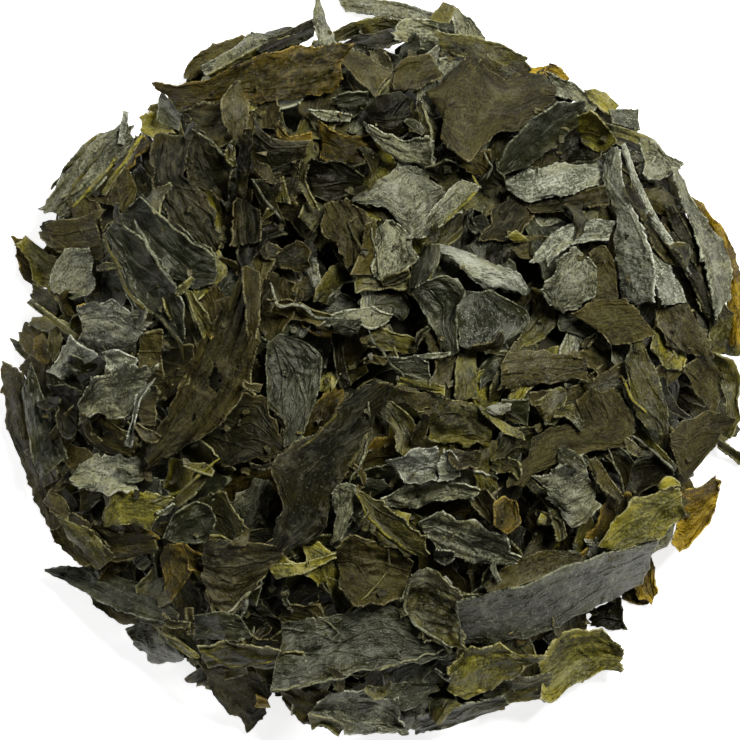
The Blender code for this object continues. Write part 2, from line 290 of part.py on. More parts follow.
TOP_FLAKES = (
    ("tawny", "leaf", ((354, 47), (300, 50), (260, 58), (205, 82), (156, 85)),
     ((335, 92), (280, 104), (222, 102), (183, 108), (158, 91))),
    ("umber", "leaf", ((240, 146), (224, 125), (222, 102), (237, 84)),
     ((243, 146), (248, 125), (249, 105), (240, 84))),
    ("tawny", "crumpled", ((318, 122), (345, 138), (370, 136)),
     ((320, 160), (345, 167), (366, 162), (378, 152))),
    ("black", "cup", ((366, 112), (380, 96), (402, 92)), ((372, 128), (395, 141), (414, 118))),
    ("ash", "ribbed", ((360, 122), (378, 131), (398, 141), (428, 138)),
     ((376, 146), (400, 162), (434, 172))),
    ("black", "cup", ((304, 166), (330, 160), (368, 176)), ((308, 198), (330, 204), (360, 194))),
    ("olive", "rolled", ((302, 162), (298, 180), (312, 210)), ((310, 168), (306, 182), (320, 212))),
    ("peat", "rolled", ((244, 130), (240, 165), (236, 195)), ((254, 132), (252, 165), (246, 200))),
    ("peat", "ribbed", ((155, 133), (152, 165), (160, 200), (175, 225), (218, 258)),
     ((196, 140), (187, 176), (206, 196), (217, 215), (221, 250))),
    ("peat", "leaf", ((196, 129), (187, 165), (190, 182), (222, 200)),
     ((200, 130), (217, 148), (236, 166), (228, 200))),
    ("slate", "leaf", ((118, 222), (145, 248), (170, 275), (190, 288), (217, 285)),
     ((132, 208), (143, 197), (175, 222), (218, 258))),
    ("slate", "leaf", ((104, 236), (113, 258), (127, 292), (150, 313), (184, 342)),
     ((120, 222), (140, 236), (168, 270), (184, 300), (188, 340))),
    ("ash", "flat", ((48, 285), (56, 262), (67, 250), (91, 247)),
     ((62, 297), (76, 303), (92, 290), (100, 280))),
    ("ash", "crumpled", ((80, 306), (100, 300), (120, 302), (147, 324)),
     ((78, 345), (100, 358), (125, 364), (139, 352))),
    ("pale", "crumpled", ((48, 372), (62, 355), (72, 336)), ((62, 381), (80, 368), (100, 356))),
    ("pale", "crumpled", ((104, 352), (120, 350), (138, 358)), ((108, 370), (118, 372), (136, 364))),
    ("ash", "crumpled", ((78, 402), (100, 378), (130, 367), (157, 370)),
     ((82, 422), (102, 412), (124, 420), (140, 400))),
    ("pale", "rolled", ((138, 395), (134, 420), (126, 446)), ((158, 378), (142, 400), (134, 447))),
    ("peat", "flat", ((205, 405), (235, 393), (262, 394), (284, 440)),
     ((206, 440), (222, 468), (245, 461), (276, 459))),
    ("umber", "ribbed", ((243, 275), (222, 310), (197, 350), (178, 395), (146, 458)),
     ((262, 300), (258, 350), (248, 390), (215, 430), (152, 466))),
    ("peat", "rolled", ((244, 268), (246, 300), (250, 335)), ((262, 272), (262, 305), (258, 340))),
    ("ash", "crumpled", ((72, 470), (92, 458), (118, 455), (142, 464)),
     ((82, 487), (105, 491), (142, 491))),
    ("moss", "leaf", ((104, 527), (107, 508), (114, 491), (148, 490), (171, 499)),
     ((116, 526), (135, 524), (152, 528), (160, 512))),
    ("slate", "cup", ((165, 537), (175, 512), (196, 500), (213, 504)),
     ((174, 541), (192, 543), (207, 541), (218, 520))),
    ("tawny", "leaf", ((163, 543), (165, 572), (171, 602)), ((184, 541), (196, 560), (180, 590))),
    ("tawny", "leaf", ((184, 541), (206, 556), (231, 568)), ((190, 568), (210, 575), (229, 579))),
    ("umber", "leaf", ((205, 541), (240, 538), (288, 545)),
     ((204, 592), (214, 606), (230, 616), (262, 580))),
    ("peat", "leaf", ((278, 257), (297, 240), (308, 246)), ((282, 268), (296, 274), (313, 268))),
    ("umber", "ribbed", ((325, 205), (322, 238), (338, 245), (348, 268)),
     ((347, 203), (366, 213), (372, 225), (360, 262))),
    ("umber", "ribbed", ((364, 225), (362, 250), (350, 276)), ((376, 222), (374, 250), (372, 276))),
    ("ash", "leaf", ((378, 228), (374, 255), (374, 279), (386, 286)),
     ((392, 219), (412, 238), (416, 260), (400, 274))),
    ("ash", "leaf", ((350, 201), (372, 185), (405, 164), (432, 178)),
     ((362, 204), (385, 208), (412, 238), (445, 198))),
    ("ash", "leaf", ((411, 238), (436, 205), (462, 178)), ((420, 240), (446, 225), (478, 190))),
    ("ash", "rolled", ((320, 326), (332, 316), (362, 308), (393, 315)),
     ((326, 327), (350, 322), (370, 330), (391, 322))),
    ("slate", "flat", ((268, 344), (265, 370), (268, 396), (282, 422), (285, 446)),
     ((280, 334), (303, 341), (323, 356), (318, 392), (300, 440))),
    ("olive", "leaf", ((375, 400), (384, 418), (396, 432), (396, 452)),
     ((392, 401), (412, 418), (416, 438), (404, 456))),
    ("olive", "crumpled", ((420, 412), (442, 400), (470, 402), (500, 425)),
     ((430, 440), (455, 442), (485, 447))),
    ("moss", "rolled", ((478, 405), (498, 420), (522, 432)), ((482, 414), (502, 432), (524, 440))),
    ("peat", "flat", ((376, 378), (350, 395), (330, 422), (296, 442), (272, 466), (283, 500), (272, 545)),
     ((394, 388), (374, 420), (356, 450), (340, 480), (330, 510), (322, 532), (288, 552))),
    ("ash", "crumpled", ((380, 498), (404, 484), (455, 480), (482, 488)),
     ((386, 504), (410, 507), (440, 499), (470, 496))),
    ("pale", "leaf", ((387, 461), (408, 450), (436, 446)), ((402, 472), (404, 481), (436, 480))),
    ("pale", "leaf", ((438, 448), (450, 448), (458, 462)), ((440, 479), (452, 479), (462, 476))),
    ("ash", "leaf", ((330, 492), (336, 515), (332, 541)), ((345, 480), (356, 484), (354, 505), (342, 538))),
    ("umber", "cup", ((336, 545), (355, 535), (385, 545), (412, 560)),
     ((340, 582), (355, 605), (385, 600), (404, 596))),
    ("olive", "leaf", ((357, 492), (366, 512), (362, 521), (385, 543), (410, 556)),
     ((364, 492), (390, 508), (418, 530), (430, 553))),
    ("ash", "ribbed", ((420, 520), (436, 512), (470, 520), (505, 538), (519, 555)),
     ((422, 532), (440, 548), (465, 559), (512, 563))),
    ("slate", "flat", ((283, 622), (310, 617), (345, 612), (375, 601), (398, 606), (425, 634), (452, 648)),
     ((270, 690), (300, 684), (350, 671), (400, 664), (432, 659), (452, 650))),
    ("olive", "crumpled", ((401, 600), (408, 578), (426, 565), (458, 588)),
     ((402, 612), (420, 625), (424, 640), (462, 645))),
    ("moss", "crumpled", ((446, 672), (470, 645), (505, 645), (538, 657)),
     ((450, 694), (466, 701), (490, 687), (528, 668))),
    ("slate", "flat", ((456, 600), (490, 590), (525, 583), (560, 566), (605, 552), (656, 541)),
     ((462, 642), (500, 641), (540, 632), (575, 616), (608, 600), (643, 583))),
    ("moss", "leaf", ((596, 546), (612, 520), (630, 503), (655, 490), (672, 485)),
     ((622, 549), (648, 540), (668, 530), (687, 512))),
    ("amber", "cup", ((492, 524), (493, 505), (504, 495)), ((506, 536), (518, 520), (516, 498))),
    ("ash", "crumpled", ((537, 478), (560, 465), (582, 460)), ((556, 508), (572, 528), (600, 505))),
    ("umber", "ribbed", ((505, 352), (545, 351), (588, 360)), ((495, 390), (540, 384), (584, 378))),
    ("olive", "leaf", ((625, 345), (622, 372), (634, 408), (646, 431)),
     ((642, 345), (655, 372), (664, 402), (668, 434))),
    ("umber", "flat", ((665, 432), (684, 420), (705, 411), (736, 418)),
     ((672, 452), (683, 482), (700, 462), (718, 438))),
    ("umber", "flat", ((568, 313), (600, 300), (622, 300)), ((600, 332), (610, 345), (658, 335))),
    ("umber", "flat",
     ((506, 486), (508, 474), (528, 452), (532, 436), (560, 425), (581, 419), (576, 400), (580, 390)),
     ((518, 484), (545, 466), (575, 455), (600, 448), (622, 446), (633, 432), (628, 408), (612, 390))),
    ("slate", "leaf", ((410, 290), (420, 308), (434, 332), (450, 358)),
     ((424, 281), (446, 276), (466, 291), (454, 318), (459, 352))),
    ("slate", "flat", ((466, 291), (455, 312), (459, 345), (470, 350)),
     ((490, 292), (522, 308), (530, 322), (500, 345))),
    ("pale", "rolled", ((430, 252), (448, 258), (470, 280), (490, 292)),
     ((438, 246), (462, 252), (485, 262), (520, 275), (528, 290))),
    ("slate", "rolled", ((408, 290), (412, 268), (424, 248)), ((424, 283), (438, 265), (440, 244))),
    ("ash", "cup", ((568, 247), (556, 264), (543, 288), (548, 304)),
     ((586, 252), (596, 270), (594, 297), (562, 314))),
    ("umber", "leaf", ((656, 300), (657, 322), (664, 346)), ((684, 303), (702, 332), (712, 358))),
    ("moss", "rolled", ((572, 125), (590, 112), (608, 130)), ((580, 142), (600, 153), (620, 142))),
    ("slate", "leaf", ((494, 178), (508, 145), (535, 118), (556, 105), (582, 103)),
     ((500, 178), (525, 168), (556, 146), (574, 128), (583, 110))),
    ("pale", "ribbed", ((503, 182), (525, 172), (560, 165), (599, 162)),
     ((505, 191), (526, 203), (560, 197), (602, 184))),
    ("ash", "leaf", ((670, 166), (676, 192), (694, 235), (708, 285), (714, 318)),
     ((676, 166), (690, 198), (712, 228), (730, 262), (728, 300))),
    ("pale", "flat", ((636, 226), (640, 252), (650, 280), (662, 306)),
     ((642, 228), (658, 254), (671, 272), (685, 303))),
    ("pale", "flat", ((601, 153), (604, 178), (609, 200), (616, 225), (612, 240), (618, 270), (619, 301)),
     ((616, 149), (622, 178), (629, 205), (638, 226), (649, 248), (652, 276), (652, 304))),
    ("umber", "cup", ((642, 222), (650, 244), (664, 264)), ((658, 232), (668, 246), (678, 268))),
    ("pale", "rolled", ((620, 146), (630, 180), (641, 210), (660, 240), (684, 270)),
     ((624, 144), (637, 180), (651, 210), (666, 234), (690, 276))),
    ("umber", "leaf", ((442, 162), (462, 168), (482, 181)), ((474, 150), (488, 152), (492, 165))),
    ("umber", "flat",
     ((427, 96), (445, 78), (466, 60), (477, 58), (488, 72), (505, 80), (545, 73), (557, 88)),
     ((432, 106), (446, 128), (440, 140), (466, 163), (480, 150), (492, 138), (515, 132), (552, 103))),
)


def along(points, share):
    """The point at each share, 0 to 1, of a line through a few points, between straight and smooth."""
    lengths = np.linalg.norm(np.diff(points, axis=0), axis=1)
    knots = np.concatenate([[0.0], np.cumsum(lengths)]) / lengths.sum()
    slopes = np.gradient(points, knots, axis=0)
    k = np.clip(np.searchsorted(knots, share, side="right") - 1, 0, len(points) - 2)
    span = (knots[k + 1] - knots[k])[..., None]
    t = (share - knots[k])[..., None] / span
    start = (1 + 2 * t) * (1 - t) ** 2 * points[k] + t * (1 - t) ** 2 * span * slopes[k]
    end = t * t * (3 - 2 * t) * points[k + 1] - t * t * (1 - t) * span * slopes[k + 1]
    straight = (1 - t) * points[k] + t * points[k + 1]
    return CORNERS * straight + (1 - CORNERS) * (start + end)


def waves(rng, spacing, count):
    """A few crossing waves with random directions, whose sum makes an uneven surface."""
    angle = rng.uniform(0, math.pi, count)
    number = 2 * math.pi / (spacing * rng.uniform(0.7, 1.6, count))
    return np.cos(angle) * number, np.sin(angle) * number, rng.uniform(0, 2 * math.pi, count)


def swell(wave, x, y):
    """The sum of smooth waves at x and y, about -1 to 1."""
    total = sum(np.sin(kx * x + ky * y + phase) for kx, ky, phase in zip(*wave))
    return total / math.sqrt(2 * len(wave[0]))


def creased(wave, x, y):
    """The sum of triangle waves: flat facets that meet in sharp creases, about -1 to 1."""
    turns = [(kx * x + ky * y + phase) / (2 * math.pi) for kx, ky, phase in zip(*wave)]
    return sum(1 - 4 * np.abs(np.mod(turn, 1) - 0.5) for turn in turns) / math.sqrt(len(turns))


def toothed(wave, x, y):
    """The sum of saw waves, which rise slowly and drop at once, about -1 to 1."""
    turns = [(kx * x + ky * y + phase) / (2 * math.pi) for kx, ky, phase in zip(*wave)]
    return sum(2 * np.mod(turn, 1) - 1 for turn in turns) / math.sqrt(len(turns))


def make_flake(colour, form, left, right, lean, rng):
    """A flake with its curls, folds and tears settled, but not yet laid."""
    curl, bend, keel, ruffle, fold, fold_spacing, crumple = FORMS[form]
    sides = [np.linalg.norm(np.diff(side, axis=0), axis=1).sum() for side in (left, right)]
    length = 0.5 * sum(sides)
    middle = 0.5 * (left.mean(axis=0) + right.mean(axis=0))
    width = np.linalg.norm(along(left, np.array([0.5])) - along(right, np.array([0.5])))
    roll = 0.75 if form == "rolled" or width < 0.3 * length else 0.22
    return {
        "colour": colour, "left": left, "right": right, "length": length, "width": width, "middle": middle,
        "curl": curl * width * rng.uniform(0.6, 1.4) * rng.choice([-1, 1], p=[0.35, 0.65]),
        "bend": bend * length * rng.uniform(-1, 1),
        "roll": roll * rng.uniform(0.3, 1.0) * rng.choice([-1, 1]),
        "lean": rng.uniform(-lean, lean, 2),
        "fold": fold * rng.uniform(0.7, 1.3),
        "fold_turn": 2 * math.pi / (fold_spacing * rng.uniform(0.8, 1.3)),
        "fold_phase": rng.uniform(0, 2 * math.pi, 3),
        "keel": keel * width * rng.uniform(-1, 1),
        "keel_at": rng.uniform(0.35, 0.65),
        "ruffle": ruffle * rng.uniform(0.7, 1.3),
        "crumple": crumple * rng.uniform(0.8, 1.3),
        "ruffles": waves(rng, 0.0040, 3),
        "creases": waves(rng, 0.0052, 4),
        "fine_creases": waves(rng, 0.0019, 5),
        "notches": waves(rng, 0.0034, 3),
        "nicks": waves(rng, 0.0011, 4),
        "plane": np.zeros(4),
    }


def sheet(flake, u, v):
    """Where the middle of the leaf's thickness lies at shares u along it and v across it."""
    left = along(flake["left"], u)
    right = along(flake["right"], u)
    across = right - left
    step = np.maximum(np.linalg.norm(across, axis=-1), 1e-5)
    before = np.clip(u - HEADING_SHARE, 0, 1)
    after = np.clip(u + HEADING_SHARE, 0, 1)
    heading = (along(flake["left"], after) + along(flake["right"], after)
               - along(flake["left"], before) - along(flake["right"], before))
    heading = heading / np.linalg.norm(heading, axis=-1, keepdims=True)
    plan = left + across * v[..., None]
    # Tears move both margins and both ends in and out, and fade inwards.
    torn = creased(flake["notches"], plan[..., 0], plan[..., 1])
    nick_depth = NICKED + NICKED_IN_NOTCH * np.maximum(torn, 0)
    nicked = toothed(flake["nicks"], plan[..., 0], plan[..., 1]) * nick_depth
    torn = TORN[flake["colour"]] * min(1.0, flake["width"] / FULLY_TORN) * (torn + nicked)
    sideways = np.clip(1 - (1 - np.abs(2 * v - 1)) / TORN_ACROSS, 0, 1) * np.sign(v - 0.5)
    lengthways = np.clip(1 - (1 - np.abs(2 * u - 1)) / TORN_ALONG, 0, 1) * np.sign(u - 0.5)
    plan = plan + across * (torn * sideways * np.minimum(1, step / THIN_TIP) / step)[..., None]
    plan = plan + heading * (END_TEAR * torn * lengthways)[..., None]
    # The curl, the bend and the roll, then folds along the leaf and creases in all directions.
    x, y = plan[..., 0], plan[..., 1]
    span = step * (v - 0.5)
    one, two, three = flake["fold_phase"]
    strayed_x = x + STRAY * np.sin(y * STRAY_TURN + one)
    strayed_y = y + STRAY * np.sin(x * STRAY_TURN + two)
    rise = flake["curl"] * ((2 * v - 1) ** 2 - 1 / 3) + flake["bend"] * ((2 * u - 1) ** 2 - 1 / 3)
    rise = rise + flake["roll"] * span + flake["keel"] * (np.abs(v - flake["keel_at"]) - 0.27)
    rise = rise + flake["ruffle"] * (2 * np.abs(v - 0.5)) ** 3 * creased(flake["ruffles"], x, y)
    folds = np.sin(flake["fold_turn"] * span + one + 1.3 * np.sin(3 * u + two))
    folds = folds + 0.5 * np.sin(2.3 * flake["fold_turn"] * span + three)
    crumples = creased(flake["creases"], strayed_x, strayed_y)
    crumples = crumples + FINE_SHARE * creased(flake["fine_creases"], strayed_x, strayed_y)
    rise = rise + flake["fold"] * folds + flake["crumple"] * crumples
    x0, y0 = flake["middle"]
    base, east, north, bowed = flake["plane"]
    z = rise + base + east * (x - x0) + north * (y - y0) + bowed * (2 * u - 1) ** 2
    return np.stack([x, y, np.maximum(z, FLOOR_GAP)], axis=-1)


def shares(along_count, across_count):
    """Even shares along and across a sheet, as two grids."""
    along_shares = np.linspace(0, 1, along_count + 1)
    across_shares = np.linspace(0, 1, across_count + 1)
    return np.meshgrid(along_shares, across_shares, indexing="ij")


def cells_at(places):
    """The relief map's cells under the places."""
    index = ((places[..., :2] + MAP_HALF) / MAP_CELL).astype(int)
    index = np.clip(index, 0, MAP_CELLS - 1)
    return index[..., 0], index[..., 1]


def lay(flake, number, relief, owner, follow, contact):
    """Sets the flake down: it leans as the relief under it does and rests on the highest points."""
    along_count = max(4, math.ceil(flake["length"] / SAMPLE_STEP))
    across_count = max(3, math.ceil(WIDEST_SHARE * flake["width"] / SAMPLE_STEP))
    u, v = shares(along_count, across_count)
    flake["plane"] = np.array([1.0, 0.0, 0.0, 0.0])
    places = sheet(flake, u, v)
    rise = places[..., 2] - 1.0
    ground = relief[cells_at(places)]
    away = places[..., :2] - flake["middle"]
    terms = np.stack([np.ones_like(u), away[..., 0], away[..., 1], (2 * u - 1) ** 2], axis=-1)
    fit = np.linalg.lstsq(terms.reshape(-1, 4), ground.ravel(), rcond=None)[0] * follow
    slope = fit[1:3] + flake["lean"]
    slope = slope * min(1.0, STEEPEST / max(np.linalg.norm(slope), 1e-6))
    bowed = np.clip(fit[3], -BOW_DOWN * flake["length"], BOW_UP * flake["length"])
    rise = rise + away @ slope + bowed * terms[..., 3]
    base = np.percentile(ground - rise, contact) - SINK + 0.5 * LEAF_THICKNESS
    flake["plane"] = np.array([base, slope[0], slope[1], bowed])
    top = np.maximum(rise + base, FLOOR_GAP) + 0.5 * LEAF_THICKNESS
    i, j = cells_at(places)
    higher = top > relief[i, j]
    np.maximum.at(relief, (i[higher], j[higher]), top[higher])
    owner[i[higher], j[higher]] = number


def loose_flake(rng, place, size, colours, forms):
    """A small flake with a random outline round a place."""
    length = size * rng.uniform(*LOOSE_LENGTHS)
    width = length * rng.uniform(*LOOSE_WIDTHS)
    heading = rng.uniform(0, 2 * math.pi)
    ahead = np.array([math.cos(heading), math.sin(heading)])
    aside = np.array([-ahead[1], ahead[0]])
    at = np.linspace(-0.5, 0.5, 4)
    bow = rng.uniform(-0.25, 0.25) * length * 4 * at ** 2
    profile = np.array(LOOSE_PROFILE) * rng.uniform(*LOOSE_UNEVEN, (2, 4))
    spine = place + at[:, None] * length * ahead + bow[:, None] * aside
    left = spine + 0.5 * width * profile[0][:, None] * aside
    right = spine - 0.5 * width * profile[1][:, None] * aside
    return make_flake(rng.choice(list(colours), p=list(colours.values())),
                      rng.choice(list(forms), p=list(forms.values())), left, right, LOOSE_LEAN, rng)


# Shares of the colours and forms among the loose flakes.
LOOSE_COLOURS = {"umber": 0.24, "slate": 0.22, "olive": 0.27, "moss": 0.07, "amber": 0.04, "ash": 0.10,
                 "black": 0.06}
LOOSE_FORMS = {"flat": 0.10, "leaf": 0.34, "ribbed": 0.18, "crumpled": 0.14, "rolled": 0.16, "cup": 0.08}
GOLDEN_ANGLE = math.pi * (3 - math.sqrt(5))


def heap_of_flakes():
    """All flakes as laid, the relief before and after, and the number of the flake on top in each cell."""
    rng = np.random.default_rng(SEED)
    middle = (np.arange(MAP_CELLS) + 0.5) * MAP_CELL - MAP_HALF
    x, y = np.meshgrid(middle, middle, indexing="ij")
    share = np.clip(np.hypot(x, y) / CORE_RADIUS, 0, 1)
    relief = CORE_HEIGHT * (1 - share ** CORE_POWER)
    relief = relief + CORE_LUMP * swell(waves(rng, 0.011, 7), x, y) * (relief > 0)
    relief = np.maximum(relief, 0)
    packed = relief.copy()
    owner = np.full(relief.shape, -1)
    flakes = []
    for number in range(SKIRT_FLAKES):
        turn = number * GOLDEN_ANGLE
        place = np.array([math.cos(turn), math.sin(turn)]) * rng.uniform(*SKIRT_REACH)
        flakes.append(loose_flake(rng, place, SKIRT_SIZE, LOOSE_COLOURS, LOOSE_FORMS))
        lay(flakes[-1], len(flakes) - 1, relief, owner, *SKIRT_REST)
    for number in range(LOOSE_FLAKES):
        reach = LOOSE_RADIUS * math.sqrt((number + 0.5) / LOOSE_FLAKES)
        turn = number * GOLDEN_ANGLE
        place = np.array([math.cos(turn), math.sin(turn)]) * reach + rng.uniform(-LOOSE_STRAY, LOOSE_STRAY, 2)
        flakes.append(loose_flake(rng, place, LOOSE_SIZE, LOOSE_COLOURS, LOOSE_FORMS))
        lay(flakes[-1], len(flakes) - 1, relief, owner, *LOOSE_REST)
    for rows, rest in ((RIM_FLAKES, RIM_REST), (MIDDLE_FLAKES, MIDDLE_REST), (TOP_FLAKES, TOP_REST)):
        for colour, form, left, right in rows:
            margins = []
            for side in (left, right):
                steps = (np.array(side, dtype=float) - LAYOUT_CENTRE) * LAYOUT_STEP
                margins.append(steps * (1, -1))
            flakes.append(make_flake(colour, form, margins[0], margins[1], LARGE_LEAN, rng))
            lay(flakes[-1], len(flakes) - 1, relief, owner, *rest)
    return flakes, packed, relief, owner


def between(points, parts):
    """Points on straight lines between neighbours in the first axis, with each gap in so many parts."""
    at = np.linspace(0, len(points) - 1, (len(points) - 1) * parts + 1)
    before = np.minimum(at.astype(int), len(points) - 2)
    share = (at - before)[:, None, None]
    return (1 - share) * points[before] + share * points[before + 1]


def settle(middle, ground):
    """Lowers the few-sided sheet until it meets what lies under it, and adds it to the ground."""
    spread = between(between(middle, SETTLE_PARTS).swapaxes(0, 1), SETTLE_PARTS)
    cells = cells_at(spread)
    gap = (spread[..., 2] - 0.5 * LEAF_THICKNESS - ground[cells]).min()
    if gap < FURTHEST_DROP:
        drop = max(gap + OVERLAP, 0.0)
        middle[..., 2] = np.maximum(middle[..., 2] - drop, FLOOR_GAP)
        np.maximum.at(ground, cells, spread[..., 2] - drop)
    return middle


def sheet_mesh(middle):
    """Points and triangles of the sheet as a closed thin body, both faces split alike."""
    along_count, across_count = middle.shape[0] - 1, middle.shape[1] - 1
    normal = np.cross(np.gradient(middle, axis=0), np.gradient(middle, axis=1))
    normal = normal / np.maximum(np.linalg.norm(normal, axis=-1, keepdims=True), 1e-12)
    normal = normal * np.sign(normal[..., 2].sum())
    points = np.concatenate([(middle + normal * 0.5 * LEAF_THICKNESS).reshape(-1, 3),
                             (middle - normal * 0.5 * LEAF_THICKNESS).reshape(-1, 3)])
    points[:, 2] = np.maximum(points[:, 2], 0.5 * FLOOR_GAP)
    grid = np.arange((along_count + 1) * (across_count + 1)).reshape(middle.shape[:2])
    a, b, c, d = grid[:-1, :-1], grid[1:, :-1], grid[1:, 1:], grid[:-1, 1:]
    odd = (np.add.outer(np.arange(along_count), np.arange(across_count)) % 2).astype(bool)[..., None]
    one = np.where(odd, np.stack([a, b, d], -1), np.stack([a, b, c], -1)).reshape(-1, 3)
    two = np.where(odd, np.stack([b, c, d], -1), np.stack([a, c, d], -1)).reshape(-1, 3)
    upper = np.concatenate([one, two])
    lower = upper[:, ::-1] + grid.size
    border = np.concatenate([grid[:, 0], grid[-1, 1:], grid[-2::-1, -1], grid[0, -2:0:-1]])
    following = np.roll(border, -1)
    rim_one = np.stack([border, border + grid.size, following], axis=-1)
    rim_two = np.stack([following, border + grid.size, following + grid.size], axis=-1)
    faces = np.concatenate([upper, lower, rim_one, rim_two])
    corners = points[faces]
    if np.einsum("ij,ij->i", corners[:, 0], np.cross(corners[:, 1], corners[:, 2])).sum() < 0:
        faces = faces[:, ::-1]
    return points, faces


def smoothed(relief, cells):
    """The relief with each cell made the mean of those round it."""
    kernel = np.ones(2 * cells + 1) / (2 * cells + 1)
    relief = np.apply_along_axis(np.convolve, 0, relief, kernel, mode="same")
    return np.apply_along_axis(np.convolve, 1, relief, kernel, mode="same")


def lowest_leaf(sheets, packed):
    """Height of the lowest of the sheets in each cell, or of the packed middle where there is none."""
    lowest = np.full(packed.shape, HEAP_WIDTH)
    for flake in sheets:
        along_count = math.ceil(flake["length"] / SAMPLE_STEP)
        across_count = math.ceil(WIDEST_SHARE * flake["width"] / SAMPLE_STEP)
        places = sheet(flake, *shares(along_count, across_count))
        np.minimum.at(lowest, cells_at(places), places[..., 2])
    return np.where(lowest < HEAP_WIDTH, lowest, packed)


def core_tops(relief, lowest):
    """The core's height in each cell: a little under the heap's top, and at the rim near the lowest leaf."""
    soft = smoothed(smoothed(relief, SMOOTH_CELLS), SMOOTH_CELLS)
    foot = smoothed(lowest, FOOT_SMOOTH_CELLS) + FOOT_LIFT
    middle = (np.arange(MAP_CELLS) + 0.5) * MAP_CELL - MAP_HALF
    radius = np.hypot(*np.meshgrid(middle, middle, indexing="ij"))
    outward = np.clip((radius - CORE_FALL_FROM) / (CORE_FALL_TO - CORE_FALL_FROM), 0, 1)
    tops = (1 - outward) * (soft - CORE_UNDER) + outward * foot
    tops = np.minimum(tops, CORE_STEP + CORE_SLOPE * (CORE_MOST_RADIUS - radius))
    beyond = (soft < CORE_EDGE) | (radius > CORE_MOST_RADIUS)
    return np.where(beyond, 0.0, np.maximum(tops, CORE_STEP))


def core_mesh(tops):
    """An even spread of points at the core's tops, over a flat base."""
    turn = np.arange(CORE_SIDES) * 2 * math.pi / CORE_SIDES
    rays = np.stack([np.cos(turn), np.sin(turn)], axis=-1)
    out = np.arange(CORE_LEAST_RADIUS, CORE_MOST_RADIUS, EDGE_STEP * MAP_CELL)
    out = np.append(out, CORE_MOST_RADIUS)
    low = tops[cells_at(rays[:, None, :] * out[None, :, None])] < CORE_STEP
    low[:, -1] = True
    edge = out[np.argmax(low, axis=1)]
    edge = 0.25 * np.roll(edge, 1) + 0.5 * edge + 0.25 * np.roll(edge, -1)
    number = np.arange(CORE_POINTS)
    spiral = number * GOLDEN_ANGLE % (2 * math.pi)
    reach = CORE_INNER * np.sqrt((number + 0.5) / CORE_POINTS)
    reach = reach * np.interp(spiral, turn, edge, period=2 * math.pi)
    inner = np.column_stack([np.cos(spiral) * reach, np.sin(spiral) * reach])
    outer = rays * edge[:, None]
    spots = np.concatenate([outer, inner])
    found = delaunay_2d_cdt([Vector(spot) for spot in spots], [], [list(range(CORE_SIDES))], 1, 1e-6)
    top = np.array(found[2])
    spots = np.array([tuple(spot) for spot in found[0]])
    came_from = np.array([origin[0] for origin in found[3]])
    height = np.maximum(tops[cells_at(spots)], CORE_STEP)
    height[came_from < CORE_SIDES] = CORE_STEP
    border = np.argsort(came_from)[:CORE_SIDES]
    points = np.concatenate([
        np.column_stack([spots, height]),
        np.column_stack([spots[border], np.zeros(CORE_SIDES)]),
        np.zeros((1, 3)),
    ])
    below = len(spots) + np.arange(CORE_SIDES)
    hub = np.full(CORE_SIDES, len(points) - 1)
    faces = np.concatenate([
        top,
        np.column_stack([border, below, np.roll(below, -1)]),
        np.column_stack([border, np.roll(below, -1), np.roll(border, -1)]),
        np.column_stack([hub, np.roll(below, -1), below]),
    ])
    return points, faces


def mesh_object(name, points, faces):
    mesh = bpy.data.meshes.new(name)
    mesh.from_pydata(points.tolist(), [], faces.tolist())
    mesh.validate()
    return bpy.data.objects.new(name, mesh)


def sheets_worth_showing(flakes, owner):
    """Numbers of the flakes that show most, in the order laid; those on the rim count more."""
    counts = np.bincount(owner[owner >= 0], minlength=len(flakes))
    found = []
    for number, cells in enumerate(counts):
        area = cells * MAP_CELL ** 2
        at_rim = np.hypot(*flakes[number]["middle"]) > RIM_RADIUS
        if at_rim and number < SKIRT_FLAKES:
            area = max(area, SKIRT_SHOWN)
        if area > (SHOWN_LEAST_AT_RIM if at_rim else SHOWN_LEAST):
            found.append((area * (RIM_WEIGHT if at_rim else 1.0), number))
    found.sort(reverse=True)
    return sorted(number for _, number in found[:MOST_SHEETS])


def largest_shell(mesh):
    """Keeps the largest shell of faces joined at edges: sealed hollows are filled, loose scraps dropped."""
    work = bmesh.new()
    work.from_mesh(mesh)
    left = set(work.faces)
    shells = []
    while left:
        shell = {left.pop()}
        border = list(shell)
        while border:
            near = {other for face in border for side in face.edges for other in side.link_faces} & left
            left -= near
            shell |= near
            border = list(near)
        shells.append(shell)
    largest = max(shells, key=len)
    bmesh.ops.delete(work, geom=[face for face in work.faces if face not in largest], context="FACES")
    bmesh.ops.triangulate(work, faces=work.faces)
    work.to_mesh(mesh)
    work.free()


def fuse(heap, sheets):
    """One Boolean union of the core with all the sheets."""
    group = bpy.data.collections.new("sheets")
    bpy.context.scene.collection.children.link(group)
    for item in sheets:
        group.objects.link(item)
    union = heap.modifiers.new("union", "BOOLEAN")
    union.operation = "UNION"
    union.operand_type = "COLLECTION"
    union.collection = group
    union.solver = UNION_SOLVER
    bpy.context.view_layer.update()
    graph = bpy.context.evaluated_depsgraph_get()
    whole = bpy.data.meshes.new_from_object(heap.evaluated_get(graph))
    heap.modifiers.clear()
    heap.data = whole
    for item in sheets:
        bpy.data.objects.remove(item)
    bpy.data.collections.remove(group)
    largest_shell(heap.data)


def leaf_material():
    material = bpy.data.materials.new("dried seaweed")
    material.use_nodes = True
    shader = material.node_tree.nodes["Principled BSDF"]
    shader.inputs["Base Color"].default_value = (0.035, 0.038, 0.022, 1.0)
    shader.inputs["Roughness"].default_value = 0.55
    return material


